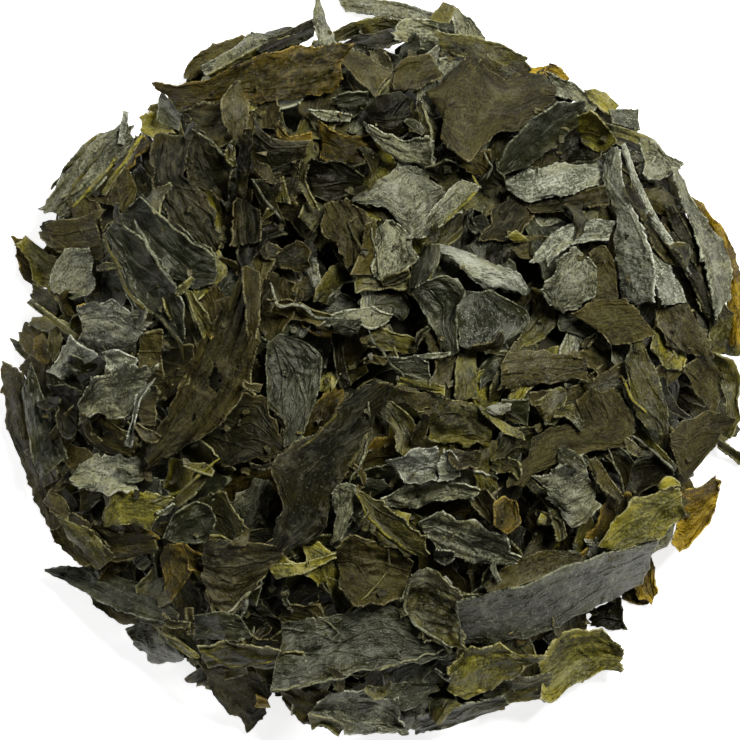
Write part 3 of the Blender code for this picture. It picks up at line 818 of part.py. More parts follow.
def main():
    for item in list(bpy.data.objects):
        bpy.data.objects.remove(item)
    flakes, packed, relief, owner = heap_of_flakes()
    shown = [flakes[number] for number in sheets_worth_showing(flakes, owner)]
    tops = core_tops(relief, lowest_leaf(shown, packed))
    heap = mesh_object("wakame_heap", *core_mesh(tops))
    bpy.context.scene.collection.objects.link(heap)
    ground = np.where(tops > 0, smoothed(tops, SMOOTH_CELLS) - CORE_UNEVEN, -HEAP_WIDTH)
    sheets = []
    for flake in shown:
        along_count = min(MOST_ALONG, max(2, round(flake["length"] / CELL_ALONG)))
        across_count = min(MOST_ACROSS, max(1, round(flake["width"] / CELL_ACROSS)))
        middle = settle(sheet(flake, *shares(along_count, across_count)), ground)
        sheets.append(mesh_object("sheet", *sheet_mesh(middle)))
    fuse(heap, sheets)
    heap.data.name = "wakame_heap"
    heap.data.materials.append(leaf_material())


main()
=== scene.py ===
"""Looks of the heap of dried wakame flakes: every leaf, chip and crumb over its own dark middle.

Lengths are in metres, +Z is up, and the origin is the middle of the base, as in the part itself.
The sections follow the heap as it forms: one flake and how it is laid, the loose flakes, the large ones
laid by their given margins, the chips, and the flakes on the table. Then they make what shows: the leaf,
its curled margins, the crumbs and the dark middle, and last the floor, light and camera.
"""

import math

import bpy
import numpy as np
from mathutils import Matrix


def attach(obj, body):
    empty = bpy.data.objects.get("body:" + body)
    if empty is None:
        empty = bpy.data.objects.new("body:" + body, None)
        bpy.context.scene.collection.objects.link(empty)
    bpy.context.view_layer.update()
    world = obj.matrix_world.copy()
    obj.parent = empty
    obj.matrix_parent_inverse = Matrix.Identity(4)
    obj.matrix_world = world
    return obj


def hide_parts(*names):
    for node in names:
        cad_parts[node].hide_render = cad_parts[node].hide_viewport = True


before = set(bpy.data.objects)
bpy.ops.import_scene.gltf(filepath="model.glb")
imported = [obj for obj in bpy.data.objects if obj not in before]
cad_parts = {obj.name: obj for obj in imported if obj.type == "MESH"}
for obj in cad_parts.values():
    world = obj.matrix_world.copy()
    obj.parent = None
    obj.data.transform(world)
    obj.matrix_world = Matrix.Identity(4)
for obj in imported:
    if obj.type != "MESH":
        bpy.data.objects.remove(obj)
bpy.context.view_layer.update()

# ---------------------------------------------------------------------------------------------------
# One dried flake
# A flake is a torn piece of thin seaweed leaf. It dries curled across and bent along its length, with
# folds that follow the leaf and creases that cross it, and its margin is notched where it broke.

# Each form of dried leaf: curl across and bend along, as shares of width and length, height of the
# keel as a share of width, then ruffle, fold height, fold spacing and crumple height (m).
LEAF_FORMS = {
    "flat": (0.04, 0.02, 0.02, 0.00012, 0.00005, 0.0030, 0.00013),
    "leaf": (0.08, 0.05, 0.18, 0.00040, 0.00012, 0.0026, 0.00028),
    "ribbed": (0.07, 0.04, 0.12, 0.00022, 0.00024, 0.0017, 0.00020),
    "crumpled": (0.08, 0.06, 0.16, 0.00045, 0.00016, 0.0024, 0.00062),
    "rolled": (0.30, 0.05, 0.06, 0.00020, 0.00012, 0.0022, 0.00022),
    "cup": (0.20, 0.14, 0.10, 0.00030, 0.00014, 0.0026, 0.00028),
}
# How far each colour of leaf is torn and notched at its margin (m).
TORN = {"umber": 0.00038, "slate": 0.00034, "olive": 0.00042, "moss": 0.00044,
        "amber": 0.00050, "ash": 0.00042, "black": 0.00034, "tawny": 0.00034, "pale": 0.00034,
        "peat": 0.00036}
FULLY_TORN = 0.0050       # width of leaf from which it is torn as deep as that
CORNERS = 0.65            # share of straight line in a margin, which gives torn leaf its blunt corners
STRAY = 0.0005            # how far creases stray from straight lines, and how fast
STRAY_TURN = 1400
HEADING_SHARE = 0.03      # the leaf's heading at a place is read this share of its length to each side
NICKED = 0.10             # how deep the fine nicks are, as a share of the notches, and how much deeper
NICKED_IN_NOTCH = 0.75    # they are inside a notch
TORN_ACROSS = 0.45        # the tears fade inwards over this share of the half width and half length
TORN_ALONG = 0.25
END_TEAR = 1.6            # a leaf's ends are torn this much deeper than its sides
THIN_TIP = 0.002          # where a leaf is narrower than this, it is torn less deep
ROLLED_ROLL = 0.75        # the steepest slope across a rolled or narrow leaf, and across any other
OPEN_ROLL = 0.22
NARROW = 0.3              # below this width, as a share of its length, a leaf is narrow
CURLED_DOWN = 0.35        # share of the leaves whose margins curl down
KEEL_LEVEL = 0.27         # what brings a keel's mean height to about nothing
FOLD_SWAY = 1.3           # how far folds sway to the side along the leaf, in radians
FOLD_AGAIN = 2.3          # how much closer than the folds a second, lower set lies
FINE_SHARE = 0.30         # height of the fine creases, as a share of the large ones
# The lowest and the highest share of its usual amount that each feature of a leaf has. The keel's is
# its place across the leaf.
SPREAD = {"curl": (0.6, 1.4), "roll": (0.3, 1.0), "fold": (0.7, 1.3), "fold_turn": (0.8, 1.3),
          "keel_at": (0.35, 0.65), "ruffle": (0.7, 1.3), "crumple": (0.8, 1.3)}
# The spacing (m) and the number of the waves that make each kind of unevenness.
LEAF_WAVES = {"ruffles": (0.0040, 3), "creases": (0.0052, 4), "fine_creases": (0.0019, 5),
              "notches": (0.0034, 3), "nicks": (0.0011, 4)}
LEAF_ROOM = 0.0005        # the height that a leaf takes in the heap
FLOOR_GAP = 0.00035


def along(points, share):
    """The point at each share, 0 to 1, of a line through a few points.

    It lies between straight pieces and cubic Hermite ones, as torn leaf has blunt corners.
    """
    lengths = np.linalg.norm(np.diff(points, axis=0), axis=1)
    knots = np.concatenate([[0.0], np.cumsum(lengths)]) / lengths.sum()
    slopes = np.gradient(points, knots, axis=0)
    k = np.clip(np.searchsorted(knots, share, side="right") - 1, 0, len(points) - 2)
    span = (knots[k + 1] - knots[k])[..., None]
    t = (share - knots[k])[..., None] / span
    start = (1 + 2 * t) * (1 - t) ** 2 * points[k] + t * (1 - t) ** 2 * span * slopes[k]
    end = t * t * (3 - 2 * t) * points[k + 1] - t * t * (1 - t) * span * slopes[k + 1]
    straight = (1 - t) * points[k] + t * points[k + 1]
    return CORNERS * straight + (1 - CORNERS) * (start + end)


def waves(rng, spacing, count):
    """A few plane waves: random directions, spacings of 0.7 to 1.6 times the one given, random phases."""
    angle = rng.uniform(0, math.pi, count)
    number = 2 * math.pi / (spacing * rng.uniform(0.7, 1.6, count))
    return np.cos(angle) * number, np.sin(angle) * number, rng.uniform(0, 2 * math.pi, count)


def swell(wave, x, y):
    """The sum of the sines of the waves at x and y, about -1 to 1."""
    total = sum(np.sin(kx * x + ky * y + phase) for kx, ky, phase in zip(*wave))
    return total / math.sqrt(2 * len(wave[0]))


def creased(wave, x, y):
    """The sum of triangle waves: flat facets that meet in sharp creases, about -1 to 1."""
    turns = [(kx * x + ky * y + phase) / (2 * math.pi) for kx, ky, phase in zip(*wave)]
    return sum(1 - 4 * np.abs(np.mod(turn, 1) - 0.5) for turn in turns) / math.sqrt(len(turns))


def toothed(wave, x, y):
    """The sum of saw waves, which rise slowly and drop at once, about -1 to 1."""
    turns = [(kx * x + ky * y + phase) / (2 * math.pi) for kx, ky, phase in zip(*wave)]
    return sum(2 * np.mod(turn, 1) - 1 for turn in turns) / math.sqrt(len(turns))


def make_flake(colour, form, left, right, lean, rng):
    """A flake with its curls, folds and tears settled, but not yet laid."""
    curl, bend, keel, ruffle, fold, fold_spacing, crumple = LEAF_FORMS[form]
    sides = [np.linalg.norm(np.diff(side, axis=0), axis=1).sum() for side in (left, right)]
    length = 0.5 * sum(sides)
    middle = 0.5 * (left.mean(axis=0) + right.mean(axis=0))
    width = np.linalg.norm(along(left, np.array([0.5])) - along(right, np.array([0.5])))
    roll = ROLLED_ROLL if form == "rolled" or width < NARROW * length else OPEN_ROLL
    return {
        "colour": colour, "left": left, "right": right, "length": length, "width": width, "middle": middle,
        "curl": (curl * width * rng.uniform(*SPREAD["curl"])
                 * rng.choice([-1, 1], p=[CURLED_DOWN, 1 - CURLED_DOWN])),
        "bend": bend * length * rng.uniform(-1, 1),
        "roll": roll * rng.uniform(*SPREAD["roll"]) * rng.choice([-1, 1]),
        "lean": rng.uniform(-lean, lean, 2),
        "fold": fold * rng.uniform(*SPREAD["fold"]),
        "fold_turn": 2 * math.pi / (fold_spacing * rng.uniform(*SPREAD["fold_turn"])),
        "fold_phase": rng.uniform(0, 2 * math.pi, 3),
        "keel": keel * width * rng.uniform(-1, 1),
        "keel_at": rng.uniform(*SPREAD["keel_at"]),
        "ruffle": ruffle * rng.uniform(*SPREAD["ruffle"]),
        "crumple": crumple * rng.uniform(*SPREAD["crumple"]),
        **{kind: waves(rng, spacing, count) for kind, (spacing, count) in LEAF_WAVES.items()},
        "torn": TORN[colour] * min(1.0, width / FULLY_TORN),
        "plane": np.zeros(4),
    }


def sheet(flake, u, v):
    """The middle of the leaf at u along and v across: a plane between two margins, plus its relief.

    In plan it is the line from the left margin to the right one, with both margins and both ends moved
    in and out by the tears. Its height is a parabola across, one along, a slope, sine folds along the
    leaf, creases in all directions, and the plane on which it was laid.
    """
    left = along(flake["left"], u)
    right = along(flake["right"], u)
    across = right - left
    step = np.maximum(np.linalg.norm(across, axis=-1), 1e-5)
    before = np.clip(u - HEADING_SHARE, 0, 1)
    after = np.clip(u + HEADING_SHARE, 0, 1)
    heading = (along(flake["left"], after) + along(flake["right"], after)
               - along(flake["left"], before) - along(flake["right"], before))
    heading = heading / np.linalg.norm(heading, axis=-1, keepdims=True)
    plan = left + across * v[..., None]
    torn = creased(flake["notches"], plan[..., 0], plan[..., 1])
    nick_depth = NICKED + NICKED_IN_NOTCH * np.maximum(torn, 0)
    nicked = toothed(flake["nicks"], plan[..., 0], plan[..., 1]) * nick_depth
    torn = flake["torn"] * (torn + nicked)
    sideways = np.clip(1 - (1 - np.abs(2 * v - 1)) / TORN_ACROSS, 0, 1) * np.sign(v - 0.5)
    lengthways = np.clip(1 - (1 - np.abs(2 * u - 1)) / TORN_ALONG, 0, 1) * np.sign(u - 0.5)
    plan = plan + across * (torn * sideways * np.minimum(1, step / THIN_TIP) / step)[..., None]
    plan = plan + heading * (END_TEAR * torn * lengthways)[..., None]
    x, y = plan[..., 0], plan[..., 1]
    span = step * (v - 0.5)
    one, two, three = flake["fold_phase"]
    strayed_x = x + STRAY * np.sin(y * STRAY_TURN + one)
    strayed_y = y + STRAY * np.sin(x * STRAY_TURN + two)
    rise = flake["curl"] * ((2 * v - 1) ** 2 - 1 / 3) + flake["bend"] * ((2 * u - 1) ** 2 - 1 / 3)
    rise = rise + flake["roll"] * span + flake["keel"] * (np.abs(v - flake["keel_at"]) - KEEL_LEVEL)
    rise = rise + flake["ruffle"] * (2 * np.abs(v - 0.5)) ** 3 * creased(flake["ruffles"], x, y)
    folds = np.sin(flake["fold_turn"] * span + one + FOLD_SWAY * np.sin(3 * u + two))
    folds = folds + 0.5 * np.sin(FOLD_AGAIN * flake["fold_turn"] * span + three)
    crumples = creased(flake["creases"], strayed_x, strayed_y)
    crumples = crumples + FINE_SHARE * creased(flake["fine_creases"], strayed_x, strayed_y)
    rise = rise + flake["fold"] * folds + flake["crumple"] * crumples
    x0, y0 = flake["middle"]
    base, east, north, bowed = flake["plane"]
    z = rise + base + east * (x - x0) + north * (y - y0) + bowed * (2 * u - 1) ** 2
    return np.stack([x, y, np.maximum(z, FLOOR_GAP)], axis=-1)


def shares(along_count, across_count):
    """Even shares along and across a sheet, as two grids."""
    along_shares = np.linspace(0, 1, along_count + 1)
    across_shares = np.linspace(0, 1, across_count + 1)
    return np.meshgrid(along_shares, across_shares, indexing="ij")


# ---------------------------------------------------------------------------------------------------
# How the flakes come to lie
# Flakes fall one by one on a relief map of the heap so far. Each leans as the heap under it does and
# rests on its highest points, which leaves the hollows and dark gaps of a real heap.

MAP_HALF = 0.060
MAP_CELL = 0.0005
MAP_CELLS = round(2 * MAP_HALF / MAP_CELL)
SAMPLE_STEP = 0.00042
STEEPEST = 0.80
LARGE_LEAN = 0.10         # how far a flake leans off the heap under it, as a slope
LOOSE_LEAN = 0.35
SINK = 0.00012
WIDEST_SHARE = 1.6        # a flake's greatest width as a share of its width halfway
BOW_DOWN = 0.12           # how far a flake bows down and up at its ends, as shares of its length
BOW_UP = 0.05


def cells_at(places):
    """The relief map's cells under the places."""
    index = ((places[..., :2] + MAP_HALF) / MAP_CELL).astype(int)
    index = np.clip(index, 0, MAP_CELLS - 1)
    return index[..., 0], index[..., 1]


def lay(flake, number, relief, owner, follow, contact):
    """Sets the flake down on the plane and bow that fit the relief best, as high as the contact share."""
    along_count = max(4, math.ceil(flake["length"] / SAMPLE_STEP))
    across_count = max(3, math.ceil(WIDEST_SHARE * flake["width"] / SAMPLE_STEP))
    u, v = shares(along_count, across_count)
    flake["plane"] = np.array([1.0, 0.0, 0.0, 0.0])
    places = sheet(flake, u, v)
    rise = places[..., 2] - 1.0
    ground = relief[cells_at(places)]
    away = places[..., :2] - flake["middle"]
    terms = np.stack([np.ones_like(u), away[..., 0], away[..., 1], (2 * u - 1) ** 2], axis=-1)
    fit = np.linalg.lstsq(terms.reshape(-1, 4), ground.ravel(), rcond=None)[0] * follow
    slope = fit[1:3] + flake["lean"]
    slope = slope * min(1.0, STEEPEST / max(np.linalg.norm(slope), 1e-6))
    bowed = np.clip(fit[3], -BOW_DOWN * flake["length"], BOW_UP * flake["length"])
    rise = rise + away @ slope + bowed * terms[..., 3]
    base = np.percentile(ground - rise, contact) - SINK + 0.5 * LEAF_ROOM
    flake["plane"] = np.array([base, slope[0], slope[1], bowed])
    top = np.maximum(rise + base, FLOOR_GAP) + 0.5 * LEAF_ROOM
    i, j = cells_at(places)
    higher = top > relief[i, j]
    np.maximum.at(relief, (i[higher], j[higher]), top[higher])
    owner[i[higher], j[higher]] = number


# ---------------------------------------------------------------------------------------------------
# The middle and the loose flakes
# The middle of the heap is broken leaf that never shows as more than darkness between flakes. Small
# flakes lie over all of it, and their edges fill the gaps between the large ones.

CORE_RADIUS = 0.0440
CORE_HEIGHT = 0.0165
CORE_POWER = 2.1                     # the height falls off with this power of the distance
CORE_LUMP = 0.0010                   # height and spacing of its lumps
CORE_LUMP_SPACING = 0.011
SKIRT_FLAKES = 110                   # laid first, round the foot
SKIRT_REACH = (0.0350, 0.0438)
SKIRT_SIZE = 0.0085
LOOSE_FLAKES = 300
LOOSE_RADIUS = 0.0440
LOOSE_SIZE = 0.0088
LOOSE_STRAY = 0.0015
LOOSE_LENGTHS = (0.75, 1.35)         # shortest and longest, as shares of the usual length
LOOSE_WIDTHS = (0.28, 0.68)          # narrowest and widest, as shares of the length
LOOSE_BOW = 0.25                     # how far the middle line bows to either side, as a share of the length
LOOSE_PROFILE = (0.60, 1.0, 0.9, 0.40)
LOOSE_UNEVEN = (0.40, 1.35)          # how much each half width differs from the profile
# How closely each kind of flake follows the slope under it, and the percentile of the ground on
# which it rests.
SKIRT_REST = (0.95, 85)
LOOSE_REST = (0.80, 90)
GOLDEN_ANGLE = math.pi * (3 - math.sqrt(5))
LOOSE_COLOURS = {"umber": 0.24, "slate": 0.22, "olive": 0.27, "moss": 0.07, "amber": 0.04, "ash": 0.10,
                 "black": 0.06}
LOOSE_FORMS = {"flat": 0.10, "leaf": 0.34, "ribbed": 0.18, "crumpled": 0.14, "rolled": 0.16, "cup": 0.08}


def loose_flake(rng, place, size, colours, forms):
    """A small flake: a bowed middle line with a random half width to each side at four stations."""
    length = size * rng.uniform(*LOOSE_LENGTHS)
    width = length * rng.uniform(*LOOSE_WIDTHS)
    heading = rng.uniform(0, 2 * math.pi)
    ahead = np.array([math.cos(heading), math.sin(heading)])
    aside = np.array([-ahead[1], ahead[0]])
    at = np.linspace(-0.5, 0.5, 4)
    bow = rng.uniform(-LOOSE_BOW, LOOSE_BOW) * length * 4 * at ** 2
    profile = np.array(LOOSE_PROFILE) * rng.uniform(*LOOSE_UNEVEN, (2, 4))
    spine = place + at[:, None] * length * ahead + bow[:, None] * aside
    left = spine + 0.5 * width * profile[0][:, None] * aside
    right = spine - 0.5 * width * profile[1][:, None] * aside
    return make_flake(rng.choice(list(colours), p=list(colours.values())),
                      rng.choice(list(forms), p=list(forms.values())), left, right, LOOSE_LEAN, rng)


rng = np.random.default_rng(41)
cell_middle = (np.arange(MAP_CELLS) + 0.5) * MAP_CELL - MAP_HALF
map_x, map_y = np.meshgrid(cell_middle, cell_middle, indexing="ij")
from_centre = np.clip(np.hypot(map_x, map_y) / CORE_RADIUS, 0, 1)
relief = CORE_HEIGHT * (1 - from_centre ** CORE_POWER)
relief = relief + CORE_LUMP * swell(waves(rng, CORE_LUMP_SPACING, 7), map_x, map_y) * (relief > 0)
relief = np.maximum(relief, 0)
core_relief = relief.copy()
owner = np.full(relief.shape, -1)
flakes = []
for number in range(SKIRT_FLAKES):
    turn = number * GOLDEN_ANGLE
    place = np.array([math.cos(turn), math.sin(turn)]) * rng.uniform(*SKIRT_REACH)
    flakes.append(loose_flake(rng, place, SKIRT_SIZE, LOOSE_COLOURS, LOOSE_FORMS))
    lay(flakes[-1], len(flakes) - 1, relief, owner, *SKIRT_REST)
for number in range(LOOSE_FLAKES):
    reach = LOOSE_RADIUS * math.sqrt((number + 0.5) / LOOSE_FLAKES)
    turn = number * GOLDEN_ANGLE
    place = np.array([math.cos(turn), math.sin(turn)]) * reach + rng.uniform(-LOOSE_STRAY, LOOSE_STRAY, 2)
    flakes.append(loose_flake(rng, place, LOOSE_SIZE, LOOSE_COLOURS, LOOSE_FORMS))
    lay(flakes[-1], len(flakes) - 1, relief, owner, *LOOSE_REST)
small_flakes = len(flakes)

# ---------------------------------------------------------------------------------------------------
# The large flakes
# These are the flakes that the eye finds: flat umber plates, long slate blades, pale crumpled leaf,
# amber tips at the rim. Each row has the leaf's colour, its form, and both margins from its stem end
# to its tip, in steps of a square layout seen from above, x to the right and y down.

HEAP_WIDTH = 0.098
LAYOUT_STEP = HEAP_WIDTH / 725
LAYOUT_CENTRE = (370, 370)
RIM_REST = (0.95, 90)
MIDDLE_REST = (0.95, 92)
TOP_REST = (0.95, 96)
RIM_FLAKES = (
    ("umber", "leaf", ((484, 56), (505, 66), (530, 80)), ((474, 76), (498, 88), (520, 100))),
    ("peat", "leaf", ((612, 130), (640, 140), (668, 160)), ((602, 162), (630, 176), (658, 192))),
    ("peat", "leaf", ((668, 232), (692, 262), (708, 300), (714, 332)),
     ((634, 258), (660, 290), (676, 322), (690, 350))),
    ("peat", "leaf", ((690, 255), (706, 280), (712, 330)), ((674, 262), (688, 290), (700, 332))),
    ("olive", "leaf", ((590, 96), (612, 112), (640, 130)), ((580, 116), (600, 132), (622, 146))),
    ("peat", "leaf", ((652, 148), (676, 172), (690, 205)), ((634, 168), (656, 192), (668, 218))),
    ("umber", "leaf", ((682, 212), (704, 245), (716, 290)), ((664, 226), (684, 258), (694, 296))),
    ("olive", "leaf", ((716, 290), (740, 325), (742, 356)), ((696, 300), (708, 330), (708, 356))),
    ("umber", "leaf", ((700, 345), (724, 360), (736, 385)), ((680, 372), (694, 392), (712, 412))),
    ("olive", "leaf", ((722, 400), (736, 415), (738, 440)), ((690, 412), (698, 426), (712, 440))),
    ("umber", "leaf", ((668, 470), (684, 476), (700, 492)), ((656, 490), (668, 502), (684, 508))),
    ("tawny", "leaf", ((624, 582), (640, 586), (656, 592)), ((622, 600), (636, 606), (650, 606))),
    ("olive", "leaf", ((490, 672), (520, 676), (552, 672)), ((478, 700), (508, 704), (540, 698))),
    ("slate", "leaf", ((396, 690), (415, 694), (440, 700)), ((392, 728), (412, 730), (436, 722))),
    ("umber", "leaf", ((276, 676), (300, 682), (330, 690)), ((286, 704), (304, 724), (330, 728))),
    ("umber", "leaf", ((92, 548), (110, 560), (130, 576)), ((82, 560), (98, 575), (116, 584))),
    ("olive", "leaf", ((170, 618), (190, 630), (206, 650)), ((160, 636), (178, 652), (194, 662))),
    ("umber", "leaf", ((56, 474), (66, 486), (78, 505)), ((30, 484), (41, 512), (54, 535))),
    ("umber", "leaf", ((72, 512), (90, 522), (108, 545)), ((49, 530), (64, 549), (86, 570))),
    ("umber", "leaf", ((36, 350), (46, 362), (56, 392)), ((20, 368), (30, 382), (40, 400))),
    ("umber", "leaf", ((26, 322), (40, 330), (56, 352)), ((20, 344), (32, 356), (48, 368))),
    ("tawny", "leaf", ((14, 240), (26, 240), (40, 262)), ((18, 268), (28, 284), (44, 292))),
    ("olive", "leaf", ((34, 284), (46, 290), (62, 300)), ((34, 304), (44, 312), (58, 316))),
    ("umber", "leaf", ((44, 222), (52, 218), (70, 222)), ((40, 238), (48, 248), (66, 252))),
    ("umber", "leaf", ((84, 178), (100, 168), (118, 168)), ((90, 202), (106, 204), (122, 196))),
    ("umber", "leaf", ((2, 372), (4, 400), (6, 430), (18, 455), (34, 492)),
     ((24, 372), (32, 396), (40, 420), (50, 446), (60, 480))),
    ("umber", "ribbed", ((184, 72), (192, 57), (220, 42), (243, 34)),
     ((190, 80), (203, 70), (225, 56), (250, 42))),
    ("ash", "ribbed", ((202, 66), (230, 50), (253, 32), (275, 36)),
     ((206, 76), (232, 64), (258, 50), (285, 42))),
    ("olive", "leaf", ((208, 76), (240, 58), (270, 42), (300, 36)),
     ((214, 80), (245, 66), (270, 54), (300, 48))),
    ("black", "ribbed", ((255, 52), (285, 32), (316, 19)), ((268, 56), (295, 46), (314, 36))),
    ("ash", "rolled", ((317, 2), (312, 20), (320, 45)), ((319, 2), (328, 22), (335, 43))),
    ("ash", "ribbed", ((338, -4), (380, -1), (405, 2), (430, 12), (458, 20)),
     ((345, 11), (380, 15), (408, 22), (435, 31), (460, 34))),
    ("olive", "leaf", ((333, 32), (350, 21), (380, 17), (404, 18)),
     ((335, 42), (360, 36), (385, 34), (407, 30))),
    ("black", "ribbed", ((350, 38), (400, 28)), ((355, 50), (390, 48), (410, 38))),
    ("ash", "crumpled", ((398, 22), (414, 18), (438, 22)), ((400, 42), (418, 50), (444, 46))),
    ("olive", "leaf", ((430, 20), (443, 1)), ((450, 27), (454, 5))),
    ("olive", "leaf", ((438, 33), (462, 36), (500, 43), (512, 51), (527, 58)),
     ((440, 52), (470, 60), (500, 67), (518, 65))),
    ("amber", "leaf", ((530, 68), (550, 64)), ((535, 76), (552, 74))),
    ("amber", "rolled", ((548, 60), (560, 66), (571, 78)), ((542, 74), (552, 78), (568, 84))),
    ("ash", "rolled", ((548, 72), (575, 84), (600, 106)), ((556, 95), (575, 102), (592, 116))),
    ("moss", "leaf", ((583, 90), (596, 90), (622, 106)), ((590, 100), (605, 112), (612, 118))),
    ("slate", "flat", ((608, 110), (638, 109)), ((612, 124), (640, 130))),
    ("olive", "ribbed", ((600, 122), (630, 130), (656, 140)), ((605, 134), (630, 142), (652, 150))),
    ("ash", "ribbed", ((622, 148), (655, 158)), ((626, 160), (650, 166))),
    ("ash", "leaf", ((640, 140), (660, 145), (678, 165)), ((640, 175), (655, 180), (668, 178))),
    ("amber", "leaf", ((690, 195), (712, 215), (728, 235), (738, 270), (741, 310), (738, 350)),
     ((690, 215), (705, 235), (718, 260), (725, 300), (728, 340))),
    ("olive", "leaf", ((712, 352), (732, 360), (740, 380), (736, 400), (740, 420), (728, 440)),
     ((712, 370), (720, 385), (724, 400), (724, 415), (720, 432))),
    ("olive", "rolled", ((716, 438), (728, 444), (744, 456)), ((718, 448), (730, 456), (742, 466))),
    ("amber", "cup", ((680, 493), (702, 484), (726, 478)), ((665, 541), (686, 549), (709, 522))),
    ("amber", "leaf", ((640, 552), (651, 556), (656, 592)), ((636, 585), (640, 600), (652, 606))),
    ("black", "leaf", ((590, 620), (600, 604), (620, 600)), ((598, 628), (612, 631), (628, 630))),
    ("moss", "cup", ((540, 655), (560, 633), (580, 627), (600, 630), (622, 648)),
     ((538, 700), (556, 700), (573, 685), (600, 673), (619, 668))),
    ("amber", "leaf", ((480, 704), (503, 702)), ((484, 714), (505, 709))),
    ("slate", "ribbed", ((418, 715), (450, 706), (505, 695)),
     ((415, 735), (450, 728), (482, 715), (510, 704))),
    ("ash", "crumpled", ((318, 702), (340, 690), (370, 688), (395, 700), (405, 722)),
     ((308, 713), (330, 722), (350, 732), (390, 734), (404, 730))),
    ("olive", "rolled", ((308, 712), (330, 717), (348, 726)), ((312, 728), (322, 724), (338, 736))),
    ("umber", "leaf", ((200, 662), (225, 667), (262, 672), (270, 695)),
     ((212, 690), (228, 714), (240, 716), (247, 733), (262, 720))),
    ("amber", "leaf", ((256, 694), (268, 698)), ((258, 706), (271, 708))),
    ("slate", "cup", ((126, 630), (140, 621), (165, 621), (185, 655)),
     ((132, 645), (148, 655), (147, 661), (165, 664), (185, 658))),
    ("umber", "leaf", ((88, 592), (110, 600), (140, 612)), ((92, 605), (108, 616), (118, 624), (135, 624))),
    ("slate", "leaf", ((43, 570), (68, 567), (100, 571), (140, 582), (182, 613)),
     ((45, 571), (60, 579), (90, 596), (125, 612), (160, 620), (180, 618))),
    ("umber", "leaf", ((52, 488), (66, 500), (72, 510)), ((44, 502), (55, 515), (68, 520))),
    ("olive", "leaf", ((60, 518), (85, 525), (118, 556)), ((64, 530), (85, 552), (97, 570))),
    ("umber", "leaf", ((2, 361), (16, 366), (26, 382), (26, 410), (30, 440)),
     ((0, 392), (8, 398), (16, 415), (23, 440))),
    ("slate", "leaf", ((32, 361), (44, 395), (54, 420), (68, 458)),
     ((22, 392), (27, 420), (32, 455), (42, 478))),
    ("black", "cup", ((52, 388), (66, 381), (80, 392)), ((56, 415), (68, 440), (80, 440))),
    ("tawny", "leaf", ((34, 338), (44, 332), (50, 345)), ((38, 358), (46, 366), (52, 362))),
    ("olive", "leaf", ((48, 350), (52, 330), (60, 326)), ((55, 362), (60, 352), (64, 338))),
    ("moss", "leaf", ((16, 246), (27, 239), (57, 258)), ((30, 262), (34, 283), (50, 288))),
    ("umber", "flat", ((46, 224), (70, 219), (100, 214)), ((58, 252), (80, 256), (104, 262))),
    ("ash", "ribbed", ((45, 207), (58, 183), (82, 147), (98, 133), (122, 123)),
     ((62, 220), (85, 202), (110, 180), (140, 145))),
    ("olive", "rolled", ((104, 196), (122, 168), (141, 134)), ((107, 197), (125, 170), (144, 136))),
    ("pale", "rolled", ((119, 144), (124, 112)), ((125, 146), (129, 113))),
    ("moss", "crumpled", ((140, 118), (155, 112), (170, 120)), ((142, 134), (156, 138), (170, 132))),
    ("slate", "leaf", ((158, 104), (162, 93), (182, 118)), ((158, 120), (170, 128), (180, 132))),
)
